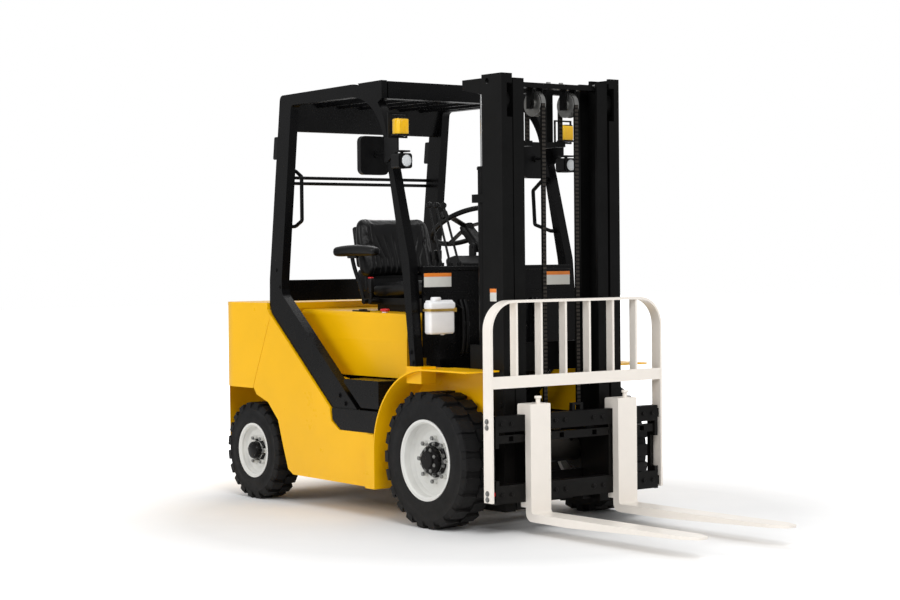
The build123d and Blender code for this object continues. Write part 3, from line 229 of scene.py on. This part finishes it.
NODE_MATS = {
    "yellow": ["body_sides", "counterweight", "hood"],
    "black": ["guard_sides", "guard_roof", "guard_rods", "cowl", "floor_plate", "steps",
              "chassis_frame"],
    "mast": ["mast_outer", "mast_inner", "carriage", "tilt_barrels"],
    "cream": ["load_backrest", "forks"],
    "casting": ["drive_axle", "steer_axle", "knuckle_left", "knuckle_right", "engine_block"],
    "rim": ["front_rim_left", "front_rim_right", "rear_rim_left", "rear_rim_right"],
    "tyre": ["front_tyre_left", "front_tyre_right", "rear_tyre_left", "rear_tyre_right"],
    "vinyl": ["seat_cushion", "seat_back", "armrest"],
    "plastic": ["seat_base", "mirrors", "work_lamps", "dash", "steering_wheel", "controls"],
    "steel": ["chain_pulleys"],
    "chain": ["chains_front", "chains_rear"],
    "chrome": ["lift_rods", "tilt_rods"],
    "amber": ["direction_lamps"],
    "white_tank": ["brake_reservoir"],
}
for key, names in NODE_MATS.items():
    for name in names:
        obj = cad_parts[name]
        for slot in obj.material_slots:
            slot.material = MATS[key]


# Shape building. Places are in millimetres from the drive axle, as in the part's own drawing.
def place(x, y, z):
    return Vector((x / 1000 + OX, y / 1000, z / 1000))


def polar(radius, angle, height):
    """A point round local Z, from millimetres to metres."""
    return Vector((radius / 1000 * math.cos(angle), radius / 1000 * math.sin(angle), height / 1000))


def frame_along(axis):
    """A rotation whose local Z runs along the axis."""
    return Vector(axis).normalized().to_track_quat("Z", "Y").to_matrix().to_4x4()


class Shape:
    """Geometry that is gathered before it becomes one piece."""

    def __init__(self):
        self.bm = bmesh.new()

    def box(self, low, high, bevel=1.5, turn=None, segments=2):
        low, high = place(*low), place(*high)
        middle, size = (low + high) / 2, high - low
        made = bmesh.ops.create_cube(self.bm, size=1)["verts"]
        bmesh.ops.scale(self.bm, vec=tuple(abs(c) for c in size), verts=made)
        if bevel:
            edges = list(dict.fromkeys(e for v in made for e in v.link_edges))
            made = bmesh.ops.bevel(self.bm, geom=edges, offset=bevel / 1000, segments=segments,
                                   profile=0.5, affect="EDGES", clamp_overlap=True)["verts"]
        if turn is not None:
            bmesh.ops.transform(self.bm, matrix=turn, verts=made)
        bmesh.ops.translate(self.bm, vec=middle, verts=made)
        return self

    def lathe(self, at, axis, profile, sides=32):
        """Turn (radius, height) pairs in millimetres round an axis."""
        spin = frame_along(axis)
        base = place(*at)
        rings = []
        for radius, height in profile:
            count = 1 if radius < 0.01 else sides
            points = [polar(radius, 2 * math.pi * k / sides, height) for k in range(count)]
            rings.append([self.bm.verts.new(base + spin @ point) for point in points])
        for a, b in zip(rings, rings[1:]):
            for k in range(sides):
                n = (k + 1) % sides
                corners = [a[k % len(a)], a[n % len(a)], b[n % len(b)], b[k % len(b)]]
                corners = list(dict.fromkeys(corners))
                if len(corners) > 2:
                    self.bm.faces.new(corners)
        for ring, flip in ((rings[0], True), (rings[-1], False)):
            if len(ring) > 2:
                self.bm.faces.new(list(reversed(ring)) if flip else ring)
        return self

    def rod(self, start, end, radius, sides=16):
        run = place(*end) - place(*start)
        length = run.length * 1000
        soft = min(radius * 0.3, 1.5)
        return self.lathe(start, run,
                          [(0, 0), (radius - soft, 0), (radius, soft), (radius, length - soft),
                           (radius - soft, length), (0, length)], sides)

    def bolt(self, at, axis, across=17, height=9, washer=True):
        """A hexagon head with a chamfered crown on its washer."""
        r = across / 2 / math.cos(math.pi / 6)
        if washer:
            self.lathe(at, axis, [(0, -1), (r + 4, -1), (r + 4, 1.6), (r + 3.4, 2.2), (0, 2.2)], 20)
        crown = height - 1.5
        self.lathe(at, axis, [(0, 1), (r, 1), (r, crown), (r * 0.84, height), (0, height)], 6)
        return self

    def tube(self, points, radius, sides=12, steps=8):
        """A round tube through points, rounded by a Catmull-Rom line."""
        pts = [place(*p) for p in points]
        pts = [2 * pts[0] - pts[1]] + pts + [2 * pts[-1] - pts[-2]]
        line = []
        for i in range(1, len(pts) - 2):
            a, b, c, d = pts[i - 1:i + 3]
            for k in range(steps):
                t = k / steps
                line.append(0.5 * ((2 * b) + (c - a) * t + (2 * a - 5 * b + 4 * c - d) * t * t
                                   + (3 * b - a - 3 * c + d) * t ** 3))
        line.append(pts[-2])
        side = None
        rings = []
        turns = [2 * math.pi * k / sides for k in range(sides)]
        for i, p in enumerate(line):
            ahead = line[min(i + 1, len(line) - 1)] - line[max(i - 1, 0)]
            ahead.normalize()
            side = ahead.orthogonal() if side is None else side - ahead * side.dot(ahead)
            side.normalize()
            other = ahead.cross(side)
            points = [p + radius / 1000 * (math.cos(t) * side + math.sin(t) * other) for t in turns]
            rings.append([self.bm.verts.new(point) for point in points])
        for a, b in zip(rings, rings[1:]):
            for k in range(sides):
                n = (k + 1) % sides
                self.bm.faces.new((a[k], a[n], b[n], b[k]))
        self.bm.faces.new(list(reversed(rings[0])))
        self.bm.faces.new(rings[-1])
        return self

    def mirror(self):
        """Add the same shape on the other side of the truck."""
        whole = self.bm.verts[:] + self.bm.edges[:] + self.bm.faces[:]
        copy = bmesh.ops.duplicate(self.bm, geom=whole)["geom"]
        for v in [g for g in copy if isinstance(g, bmesh.types.BMVert)]:
            v.co.y = -v.co.y
        faces = [g for g in copy if isinstance(g, bmesh.types.BMFace)]
        bmesh.ops.reverse_faces(self.bm, faces=faces)
        return self

    def piece(self, name, material, body, replaces=(), angle=35):
        """Make the object, smooth but for edges sharper than angle, riding on a body."""
        bmesh.ops.recalc_face_normals(self.bm, faces=self.bm.faces[:])
        mesh = bpy.data.meshes.new(name)
        self.bm.to_mesh(mesh)
        self.bm.free()
        mesh.shade_smooth()
        mesh.set_sharp_from_angle(angle=math.radians(angle))
        mesh.materials.append(MATS[material])
        obj = bpy.data.objects.new(name, mesh)
        scene.collection.objects.link(obj)
        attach(obj, body)
        if replaces:
            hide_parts(*replaces)


# The floor looks lit by itself from the first distance, in metres from the middle, to the second
GLOW_START, GLOW_FULL, GLOW_MOST = 1.5, 4.6, 1.1


def make_stage():
    bm = bmesh.new()
    bmesh.ops.create_grid(bm, x_segments=1, y_segments=1, size=40)
    mesh = bpy.data.meshes.new("floor")
    bm.to_mesh(mesh)
    floor = bpy.data.objects.new("floor", mesh)
    scene.collection.objects.link(floor)
    mat, nodes, links, bsdf = new_material("floor_paper")
    out = nodes["Material Output"]
    coord = nodes.new("ShaderNodeTexCoord").outputs["Object"]
    links.new(ramp(nodes, links, noise(nodes, links, coord, 3), [(0.3, (0.88,)), (0.7, (0.9,))]),
              bsdf.inputs["Base Color"])
    bsdf.inputs["Roughness"].default_value = 0.9
    bsdf.inputs["Specular IOR Level"].default_value = 0.1
    glow = nodes.new("ShaderNodeEmission")
    path = nodes.new("ShaderNodeLightPath")
    away = nodes.new("ShaderNodeVectorMath")
    away.operation = "LENGTH"
    links.new(coord, away.inputs[0])
    fade = nodes.new("ShaderNodeMapRange")
    fade.inputs["From Min"].default_value = GLOW_START
    fade.inputs["From Max"].default_value = GLOW_FULL
    fade.inputs["To Min"].default_value = 0.0
    fade.inputs["To Max"].default_value = GLOW_MOST
    links.new(away.outputs["Value"], fade.inputs["Value"])
    seen = nodes.new("ShaderNodeMath")
    seen.operation = "MULTIPLY"
    links.new(path.outputs["Is Camera Ray"], seen.inputs[0])
    links.new(fade.outputs["Result"], seen.inputs[1])
    links.new(seen.outputs[0], glow.inputs["Strength"])
    add = nodes.new("ShaderNodeAddShader")
    links.new(bsdf.outputs[0], add.inputs[0])
    links.new(glow.outputs[0], add.inputs[1])
    links.new(add.outputs[0], out.inputs["Surface"])
    mesh.materials.append(mat)


def area_light(name, at, target, size, power):
    """A soft lamp, with its size in metres and its power in watts."""
    data = bpy.data.lights.new(name, "AREA")
    data.shape = "RECTANGLE"
    data.size, data.size_y = size
    data.energy = power
    lamp = bpy.data.objects.new(name, data)
    scene.collection.objects.link(lamp)
    lamp.location = at
    lamp.rotation_euler = (Vector(target) - Vector(at)).to_track_quat("-Z", "Y").to_euler()


def make_lights():
    """Four soft lamps and a dim world that looks white to the camera and through glass."""
    world = bpy.data.worlds.new("world")
    scene.world = world
    world.use_nodes = True
    nodes, links = world.node_tree.nodes, world.node_tree.links
    back = nodes["Background"]
    path = nodes.new("ShaderNodeLightPath")
    most = nodes.new("ShaderNodeMath")
    most.operation = "MAXIMUM"
    links.new(path.outputs["Is Camera Ray"], most.inputs[0])
    links.new(path.outputs["Is Transmission Ray"], most.inputs[1])
    level = nodes.new("ShaderNodeMapRange")
    level.inputs["To Min"].default_value = 0.5
    level.inputs["To Max"].default_value = 1.0
    links.new(most.outputs[0], level.inputs["Value"])
    links.new(level.outputs["Result"], back.inputs["Strength"])
    back.inputs["Color"].default_value = (1, 1, 1, 1)
    area_light("key", (6.5, -3.0, 6.5), (0, 0, 0.8), (4, 4), 340)
    area_light("side", (-2.0, -8.0, 4.5), (0, 0, 0.9), (5, 3), 210)
    area_light("back", (-6.0, 5.0, 6.0), (0, 0, 1.0), (5, 4), 200)
    area_light("top", (-0.8, 1.8, 6.5), (0.1, 0, 0.5), (3.5, 3.5), 95)


make_camera()
make_stage()
make_lights()

# Wheels: tyres with full tread in place of the plain ones, hub covers and nuts
LUG_DEPTH = 15
TYRE_SIDES = 96
# Each row of bolts: how many, turned by what share of a step, on what radius, how far out from the
# wheel's middle, across flats, height, and whether it has washers
WHEELS = {
    "front": {
        "at": (0, 495, 329), "tyre": (329, 180, 185, 22),
        "hub": [(0, 18.5), (84, 18.5), (86, 21), (86, 27), (82, 30), (66.5, 31), (66.5, 60),
                (60, 67), (46, 69), (44, 76), (40, 79), (0, 80)],
        "bolts": ((8, 0, 104, 38.2, 19, 10, False), (10, 0.5, 75, 30, 13, 10, True),
                  (8, 0.5, 53, 68, 9, 6, True)),
    },
    "rear": {
        "at": (-1600, 475, 262), "tyre": (262, 150, 137, 20),
        "hub": [(0, 27.5), (58, 27.5), (60, 30), (60, 35), (56, 38), (46.5, 39), (46.5, 70),
                (42, 77), (30, 80), (0, 82)],
        "bolts": ((6, 0, 72, 47.2, 17, 9, False), (8, 0.5, 51.5, 38, 8, 6, False)),
    },
}


def make_tyre(name, body, at, side, radius, width, rim, lugs):
    """A tyre with two staggered rows of lugs, each with a skirt down the shoulder."""
    half, tread = width / 2, radius - LUG_DEPTH
    shape = Shape()
    wall = [(rim + 0.3, half - 14), (rim + 12, half - 11), (rim + 14, half - 4),
            (rim + 18, half - 1), (rim + 30, half), (tread - 62, half), (tread - 54, half - 2.5),
            (tread - 30, half - 2.5), (tread - 22, half - 1), (tread - 10, half - 5),
            (tread, half - 12)]
    profile = [(r, -h) for r, h in wall] + [(r, h) for r, h in reversed(wall)]
    middle = (at[0], side * at[1], at[2])
    shape.lathe(middle, (0, side, 0), profile, TYRE_SIDES)
    bm = shape.bm
    ends = [f for f in bm.faces if len(f.verts) > 4]
    bmesh.ops.delete(bm, geom=ends, context="FACES_ONLY")
    bmesh.ops.bridge_loops(bm, edges=[e for e in bm.edges if e.is_boundary])
    spin = frame_along((0, side, 0))
    base = place(*middle)

    def vert(r, angle, height):
        return bm.verts.new(base + spin @ polar(r, angle, height))

    # A lug's corners: shares of the pitch round the tyre, and distance from its middle plane
    plan = [(-0.31, 6), (0.29, 3), (0.36, half * 0.5), (0.33, half - 6), (-0.27, half - 6),
            (-0.33, half * 0.5)]
    # Its top, its chamfer's foot and its own foot: radius, growth round the tyre, flare outwards
    levels = ((radius - 0.4, 0.95, 0), (radius - 4, 1.0, 0), (tread - 2, 1.06, 2.0))
    skirt_line = ((radius - 7, half - 6), (tread - 4, half - 4), (tread - 22, half - 1.5))
    pitch = 2 * math.pi / lugs
    for row, lean in enumerate((-1, 1)):
        for i in range(lugs):
            turn = math.pi / 2 + (i + 0.5 * row) * pitch
            rings = [[] for _ in levels]
            for share, h in plan:
                for ring, (r, grow, flare) in zip(rings, levels):
                    out = h + (flare if h > half - 10 else 0)
                    ring.append(vert(r, turn + share * pitch * grow, lean * out))
            bm.faces.new(rings[0])
            for a, b in zip(rings, rings[1:]):
                for k in range(len(plan)):
                    n = (k + 1) % len(plan)
                    bm.faces.new((a[k], a[n], b[n], b[k]))
            skirt = [vert(r, turn + share * 0.94 * pitch, lean * (h + 2.2))
                     for share in (plan[3][0], plan[4][0]) for r, h in skirt_line]
            for m in range(2):
                bm.faces.new((skirt[m], skirt[m + 1], skirt[m + 4], skirt[m + 3]))
    shape.piece(name + "_tread", "tyre", body, (name,), 28)


for side, word in ((-1, "right"), (1, "left")):
    for axle, wheel in WHEELS.items():
        make_tyre(f"{axle}_tyre_{word}", f"{axle}_wheel_{word}", wheel["at"], side, *wheel["tyre"])
    for axle, wheel in WHEELS.items():
        x, y, z = wheel["at"]
        hub = Shape()
        hub.lathe((x, side * y, z), (0, side, 0), wheel["hub"], 48)
        hub.piece(f"{axle}_hub_cover_{word}", "black", f"{axle}_wheel_{word}")
        nuts = Shape()
        for count, offset, radius, out, across, height, washer in wheel["bolts"]:
            for i in range(count):
                a = 2 * math.pi * (i + offset) / count
                nuts.bolt((x + radius * math.cos(a), side * (y + out), z + radius * math.sin(a)),
                          (0, side, 0), across, height, washer)
        nuts.piece(f"{axle}_wheel_nuts_{word}", "steel", f"{axle}_wheel_{word}")


# Padded seat
VOXEL = 0.0062
PRESSURE = 4
CLOTH_FRAMES = 20


def rounded_block(low, high, radius, cuts):
    """A box with a fine lattice and round edges, about its own middle, in metres."""
    bm = bmesh.new()
    bmesh.ops.create_cube(bm, size=2)
    bmesh.ops.subdivide_edges(bm, edges=bm.edges[:], cuts=cuts, use_grid_fill=True)
    half = [(b - a) / 2000 for a, b in zip(low, high)]
    r = radius / 1000
    for v in bm.verts:
        p = Vector([c * h for c, h in zip(v.co, half)])
        core = Vector([max(-(h - r), min(h - r, c)) for c, h in zip(p, half)])
        step = p - core
        v.co = core + step.normalized() * r if step.length > 1e-9 else p
    return bm, half


def puff(obj, cap):
    """Swell a pad with cloth, as far as cap in metres, and leave it as plain mesh."""
    depsgraph = bpy.context.evaluated_depsgraph_get

    def bake():
        mesh = bpy.data.meshes.new_from_object(obj.evaluated_get(depsgraph()))
        obj.modifiers.clear()
        obj.data = mesh

    remesh = obj.modifiers.new("remesh", "REMESH")
    remesh.mode = "VOXEL"
    remesh.voxel_size = VOXEL
    bake()
    start = [v.co.copy() for v in obj.data.vertices]
    cloth = obj.modifiers.new("cloth", "CLOTH")
    cloth.settings.use_pressure = True
    cloth.settings.uniform_pressure_force = PRESSURE
    cloth.settings.effector_weights.gravity = 0
    cloth.settings.quality = 5
    cloth.point_cache.frame_start = 1
    cloth.point_cache.frame_end = CLOTH_FRAMES
    for number in range(1, CLOTH_FRAMES + 1):
        scene.frame_set(number)
    bake()
    for v, s in zip(obj.data.vertices, start):
        step = v.co - s
        if step.length > cap:
            v.co = s + step.normalized() * cap
    scene.frame_set(1)


def smooth_pad(obj, repeat):
    bm = bmesh.new()
    bm.from_mesh(obj.data)
    for _ in range(repeat):
        bmesh.ops.smooth_vert(bm, verts=bm.verts[:], factor=0.5, use_axis_x=True, use_axis_y=True,
                              use_axis_z=True)
    bm.to_mesh(obj.data)
    bm.free()


def pad_piece(name, low, high, radius, cuts, shape_it, replaces, carve, cap):
    """A cushion: a rounded block, shaped, swelled, carved with channels, subdivided once."""
    bm, half = rounded_block(low, high, radius, cuts)
    mesh = bpy.data.meshes.new(name)
    for v in bm.verts:
        v.co = shape_it(v.co, half)
    bm.to_mesh(mesh)
    bm.free()
    obj = bpy.data.objects.new(name, mesh)
    scene.collection.objects.link(obj)
    puff(obj, cap)
    smooth_pad(obj, 3)
    if carve:
        obj.data.update()
        for v in obj.data.vertices:
            v.co = v.co + carve(v.co, v.normal)
    sub = obj.modifiers.new("sub", "SUBSURF")
    sub.levels = sub.render_levels = 1
    depsgraph = bpy.context.evaluated_depsgraph_get()
    mesh = bpy.data.meshes.new_from_object(obj.evaluated_get(depsgraph))
    obj.modifiers.clear()
    obj.data = mesh
    mesh.name = name
    mesh.materials.clear()
    mesh.materials.append(MATS["vinyl"])
    mesh.shade_smooth()
    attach(obj, "hood_body")
    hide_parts(*replaces)


def cushion_form(p, half):
    """Crown the cushion, a little higher in front, with its long edges raised."""
    u, v = p.x / half[0], p.y / half[1]
    centre = place(-706, 0, 1128)
    wing = 0.012 * abs(v) ** 4
    return Vector((centre.x + p.x, p.y * (1 - 0.02 * u * u),
                   centre.z + p.z + 0.010 * (u + 0.2) + wing))


def cushion_carve(co, normal):
    """Two seams along the top, and shallow channels across it."""
    x, y = (co.x - OX) * 1000, co.y * 1000
    if normal.z < 0.4:
        return Vector((0, 0, 0))
    depth = 0.0
    for line in (-150, 150):
        depth += 0.006 * math.exp(-((y - line) / 7) ** 2)
    if abs(y) < 143 and -880 < x < -520:
        depth += 0.0035 * (0.5 + 0.5 * math.cos(2 * math.pi * x / 58)) ** 4
    return Vector((0, 0, -depth))


def back_form(p, half):
    """Local X is thickness, Z is height: lean it back and curve its wings forward."""
    v, w = p.y / half[1], p.z / half[2]
    t = (w + 1) / 2
    middle = -1010 - 62 * t
    thick = 1.0 - 0.38 * t
    round_top = 1 - 0.10 * max(0.0, w) ** 3
    waist = 1 - 0.05 * (w < 0) * w * w
    return Vector((middle / 1000 + OX + p.x * thick + 0.022 * abs(v) ** 3, p.y * round_top * waist,
                   1.355 + p.z))


def back_carve(co, normal):
    """Upright channels that fan out and fade towards the top, between two side seams."""
    y, z = co.y * 1000, co.z * 1000
    if normal.x < 0.4:
        return Vector((0, 0, 0))
    depth = 0.0
    if z < 1440:
        reach = max(0.0, min(1.0, (1440 - z) / 60))
        spread = 1 + max(0.0, z - 1300) / 220
        for line in (-126, -90, -54, -18, 18, 54, 90, 126):
            depth += 0.0065 * reach * math.exp(-((y - line * spread) / 5.5) ** 2)
    for line in (-172, 172):
        depth += 0.007 * math.exp(-((y - line) / 7) ** 2)
    return Vector((-depth, 0, 0))


pad_piece("seat_cushion_pad", (-936, -236, 1096), (-476, 236, 1160), 28, 24, cushion_form,
          ("seat_cushion",), cushion_carve, 0.010)
pad_piece("seat_back_pad", (-1060, -242, 1196), (-960, 242, 1514), 40, 24, back_form,
          ("seat_back",), back_carve, 0.010)


def rest_form(p, half):
    """Bow the armrest along its length and thin it towards the front."""
    u = p.x / half[0]
    drop = 0.010 * u * u + (0.006 if p.z < 0 else 0) * (1 - u * u)
    return Vector((-0.938 + OX + p.x, -0.310 + p.y * (1 - 0.06 * u),
                   1.344 + p.z * (1 - 0.12 * max(0, u)) - drop))


pad_piece("armrest_pad", (-1124, -341, 1320), (-752, -279, 1370), 20, 20, rest_form,
          ("armrest",), None, 0.004)

# Seat shell, armrest stay and belt
shell = Shape()
shell.box((-1084, -206, 1122), (-996, 206, 1240), 14, None, 4)
BACK_LEAN = Matrix.Rotation(math.radians(-11), 4, "Y")
shell.box((-1128, -196, 1250), (-1094, 196, 1470), 14, BACK_LEAN, 4)
shell.piece("seat_back_shell", "plastic", "hood_body")
stay = Shape()
stay.tube([(-930, -268, 1074), (-950, -282, 1160), (-975, -298, 1250), (-990, -306, 1322)], 11)
stay.lathe((-930, -277, 1074), (0, 1, 0), [(0, 0), (13, 0), (15, 2), (15, 60), (0, 60)], 24)
stay.box((-1010, -322, 1300), (-930, -298, 1330), 5)
stay.box((-905, -300, 1312), (-858, -318, 1338), 4)
stay.piece("armrest_stay", "plastic", "hood_body")
buckle = Shape()
buckle.box((-880, -285, 1120), (-845, -262, 1196), 5)
buckle.box((-872, -279, 1074), (-853, -268, 1126), 2)
buckle.lathe((-862, -283, 1074), (0, 1, 0), [(0, 0), (12, 0), (14, 2), (14, 62), (0, 62)], 24)
buckle.piece("belt_buckle", "plastic", "hood_body")
Shape().box((-877, -283, 1188), (-848, -264, 1201), 3).piece("belt_button", "red", "hood_body")
belt = Shape()
belt.box((-1000, 252, 1070), (-960, 262, 1300), 2)
belt.box((-1006, 246, 1290), (-954, 268, 1340), 5)
belt.box((-1000, 225, 1070), (-960, 262, 1080), 2)
belt.piece("belt_reel", "plastic", "hood_body")


# Lamps and mirrors
LAMP_Y, LAMP_Z = -530, 1773
RIB_REACH = 24
lens = Shape()
lens.lathe((-193, LAMP_Y, LAMP_Z), (1, 0, 0),
           [(0, 0), (29, 0), (29, 3), (26, 5), (18, 7), (8, 8.2), (0, 8.5)], 32)
for i in range(6):
    h = -20 + 8 * i
    w = math.sqrt(RIB_REACH ** 2 - h * h)
    lens.box((-187.5, LAMP_Y - w, LAMP_Z + h - 1), (-185.2, LAMP_Y + w, LAMP_Z + h + 1), 0.6)
lens.mirror().piece("work_lamp_lenses", "lens", "chassis")
bezel = Shape()
bezel.lathe((-194, LAMP_Y, LAMP_Z), (1, 0, 0),
            [(29.5, -2), (34, -1), (34, 5), (31, 8), (29.5, 6), (29.5, -2)], 36)
bezel.mirror().piece("work_lamp_bezels", "plastic", "chassis")
amber = Shape()
amber.box((-262, -566, 1901), (-206, -500, 1980), 9, None, 4)
for i in range(7):
    y = -557 + i * 8
    amber.box((-207, y - 1.6, 1910), (-204.6, y + 1.6, 1972), 0.8)
amber.mirror().piece("direction_lamp_lenses", "amber", "chassis", ("direction_lamps",), 40)
base = Shape()
base.box((-264, -570, 1894.3), (-202, -496, 1903), 2)
base.box((-260, -560, 1977), (-208, -506, 1983), 2)
base.mirror().piece("direction_lamp_bases", "plastic", "chassis")
glass = Shape()
glass.box((-493.5, -600, 1728), (-491, -452, 1892), 1)
glass.mirror().piece("mirror_glasses", "mirror", "chassis")
# The rear pillar's back face: its place at the lamps' foot, and its slope
PILLAR_BACK, LAMPS_FOOT, PILLAR_SLOPE = -1398.2, 1830, 0.124
lean = Matrix.Rotation(math.atan(PILLAR_SLOPE), 4, "Y")
for name, key, z0, z1 in (("tail_red", "red", 1834, 1868), ("tail_amber", "amber", 1871, 1906),
                          ("tail_clear", "lens", 1909, 1944)):
    tail = Shape()
    back0, back1 = (PILLAR_BACK + (z - LAMPS_FOOT) * PILLAR_SLOPE for z in (z0, z1))
    middle = (back0 + back1) / 2
    tail.box((middle - 3, -521, z0), (middle + 1.5, -487, z1), 1.2, lean)
    tail.mirror().piece(name + "_lenses", key, "chassis")

# Plates, left blank
plate, band = Shape(), Shape()
for y0, y1 in ((-470, -302), (302, 470)):
    plate.box((-139.9, y0, 1156), (-138.6, y1, 1224), 0.5)
    band.box((-138.8, y0, 1206), (-138.0, y1, 1224), 0.3)
plate.piece("cowl_plates", "plate", "chassis")
band.piece("cowl_plate_bands", "orange", "chassis")
Shape().box((252, -373.6, 1090), (300, -372.4, 1150), 0.5).piece("mast_plate", "plate", "mast")
Shape().box((252, -374.2, 1132), (300, -373.3, 1150), 0.3).piece("mast_plate_band", "orange",
                                                                 "mast")

# Brake reservoir: tank, strap, cap and hose, and the pipes on the cowl
tank = Shape()
tank.box((-139.6, -474, 926), (-84, -322, 1052), 13, None, 4)
tank.box((-139.6, -477, 1044), (-80, -319, 1084), 12, None, 4)
tank.box((-134, -470, 1078), (-92, -326, 1092), 6, None, 3)
tank.lathe((-112, -380, 921), (0, 0, 1), [(0, 0), (9, 0), (11, 3), (11, 10), (0, 10)], 20)
tank.piece("reservoir_tank", "white_tank", "chassis", ("brake_reservoir",), 50)
strap = Shape()
strap.box((-139.8, -479.5, 1038), (-77.5, -316.5, 1050), 1)
strap.box((-80, -332, 1034), (-73, -320, 1054), 1.5)
strap.piece("reservoir_strap", "gold", "chassis")
cap = Shape()
cap.lathe((-112, -420, 1091), (0, 0, 1), [(0, 0), (25, 0), (26, 2), (26, 12), (23, 16), (0, 17)],
          28)
cap.piece("reservoir_cap", "white_tank", "chassis")
hose = Shape()
hose.tube([(-108, -322, 1068), (-108, -300, 1070), (-112, -262, 1050), (-124, -236, 1030),
           (-138, -222, 1026)], 4)
hose.rod((-128, -226, 1027), (-141, -220, 1026), 8)
hose.piece("reservoir_hose", "plastic", "chassis")
pipes = Shape()
for y in (-250, -225, 215, 240):
    pipes.tube([(-136, y, 1090), (-118, y, 1040), (-112, y, 960), (-112, y, 880), (-124, y, 830),
                (-138, y, 822)], 9)
    pipes.bolt((-112, y, 960), (0, 0, 1), 22, 22, False)
pipes.piece("cowl_pipes", "plastic", "chassis")

# Bolts and small hardware
hoops = Shape()
for z in (176, 204, 510, 538):
    hoops.bolt((430, -542.5, z), (0, -1, 0), 16, 8)
hoops.mirror().piece("backrest_bolts", "steel", "fork_carriage")
bars = Shape()
for y in (-480, -420, -150, -90, 90, 150, 420, 480):
    for z in (524, 195):
        bars.bolt((459.5, y, z), (1, 0, 0), 18, 9)
bars.piece("carriage_bolts", "mast", "fork_carriage")
plug = Shape()
plug.lathe((440, -514, 200), (0, -1, 0), [(0, 0), (15, 0), (15, 5), (11, 8), (0, 8)], 24)
plug.piece("carriage_plug", "red", "fork_carriage")
mast_bolts = Shape()
for x in (222, 262, 330):
    mast_bolts.bolt((x, -372.5, 600), (0, -1, 0), 19, 9)
for y in (-320, -280):
    mast_bolts.bolt((33.9, y, 2131), (-1, 0, 0), 17, 8)
for z in (770, 850):
    mast_bolts.bolt((95.9, -340, z), (-1, 0, 0), 19, 9)
mast_bolts.lathe((158, -325, 1720), (0, 0, 1),
                 [(20.5, -3), (36, -3), (37, 0), (37, 10), (33, 14), (20.5, 14), (20.5, -3)], 32)
mast_bolts.lathe((0, -372.6, 329), (0, -1, 0),
                 [(62.6, 0), (84, 0), (84, 5), (80, 8), (66, 8), (62.6, 5), (62.6, 0)], 48)
mast_bolts.mirror().piece("mast_bolts", "mast", "mast")
stage_bolts = Shape()
for y in (-260, -40):
    stage_bolts.bolt((300, y, 2130), (0, 0, 1), 19, 9)
stage_bolts.bolt((158, -325, 2104), (0, 0, 1), 24, 14)
stage_bolts.mirror().piece("stage_bolts", "steel", "inner_stage")
GUARD_FACE = -529
body_bolts = Shape()
body_bolts.bolt((-120, -565, 640), (0, -1, 0), 14, 5)
for x, z, across, height in ((-172, 840, 17, 8), (-156, 790, 17, 8), (-790, 600, 19, 9),
                             (-740, 560, 19, 9), (-1375, 1240, 13, 5), (-1345, 1150, 13, 5)):
    body_bolts.bolt((x, GUARD_FACE, z), (0, -1, 0), across, height)
body_bolts.mirror().piece("guard_bolts", "black", "chassis")

# Caps on the hood and the counterweight, and the hood's latch
for name, material, body, at, profile, sides in (
        ("cap_seat", "white_tank", "hood_body", (-640, -345, 1018),
         [(0, 0), (15, 0), (15, 8), (0, 8)], 20),
        ("hood_cap", "red", "hood_body", (-640, -345, 1026),
         [(0, 0), (17, 0), (24, 3), (25, 10), (20, 15), (0, 16)], 28),
        ("rear_cap", "red", "chassis", (-1455, -395, 1064),
         [(0, 0), (20, 0), (26, 4), (26, 12), (20, 17), (0, 18)], 28)):
    Shape().lathe(at, (0, 0, 1), profile, sides).piece(name, material, body)
latch = Shape()
latch.box((-925, -352, 1022), (-790, -330, 1030), 3)
latch.box((-860, -356, 1026), (-820, -326, 1036), 3)
latch.piece("hood_latch", "plastic", "hood_body")

# Non-slip treads and the floor mat
grip = Shape()
for i in range(9):
    x = -832 + i * 26
    grip.box((x, -528, 533), (x + 9, -372, 537.5), 1.6)
grip.mirror().piece("step_ribs", "plastic", "chassis")
floor_mat = Shape()
floor_mat.box((-392, -366, 689.6), (-236, 366, 693), 1.2)
for i in range(14):
    y = -344 + i * 53
    floor_mat.box((-386, y - 5, 692.4), (-242, y + 5, 695), 1)
floor_mat.piece("floor_mat", "plastic", "chassis")

scene.view_settings.view_transform = "Standard"
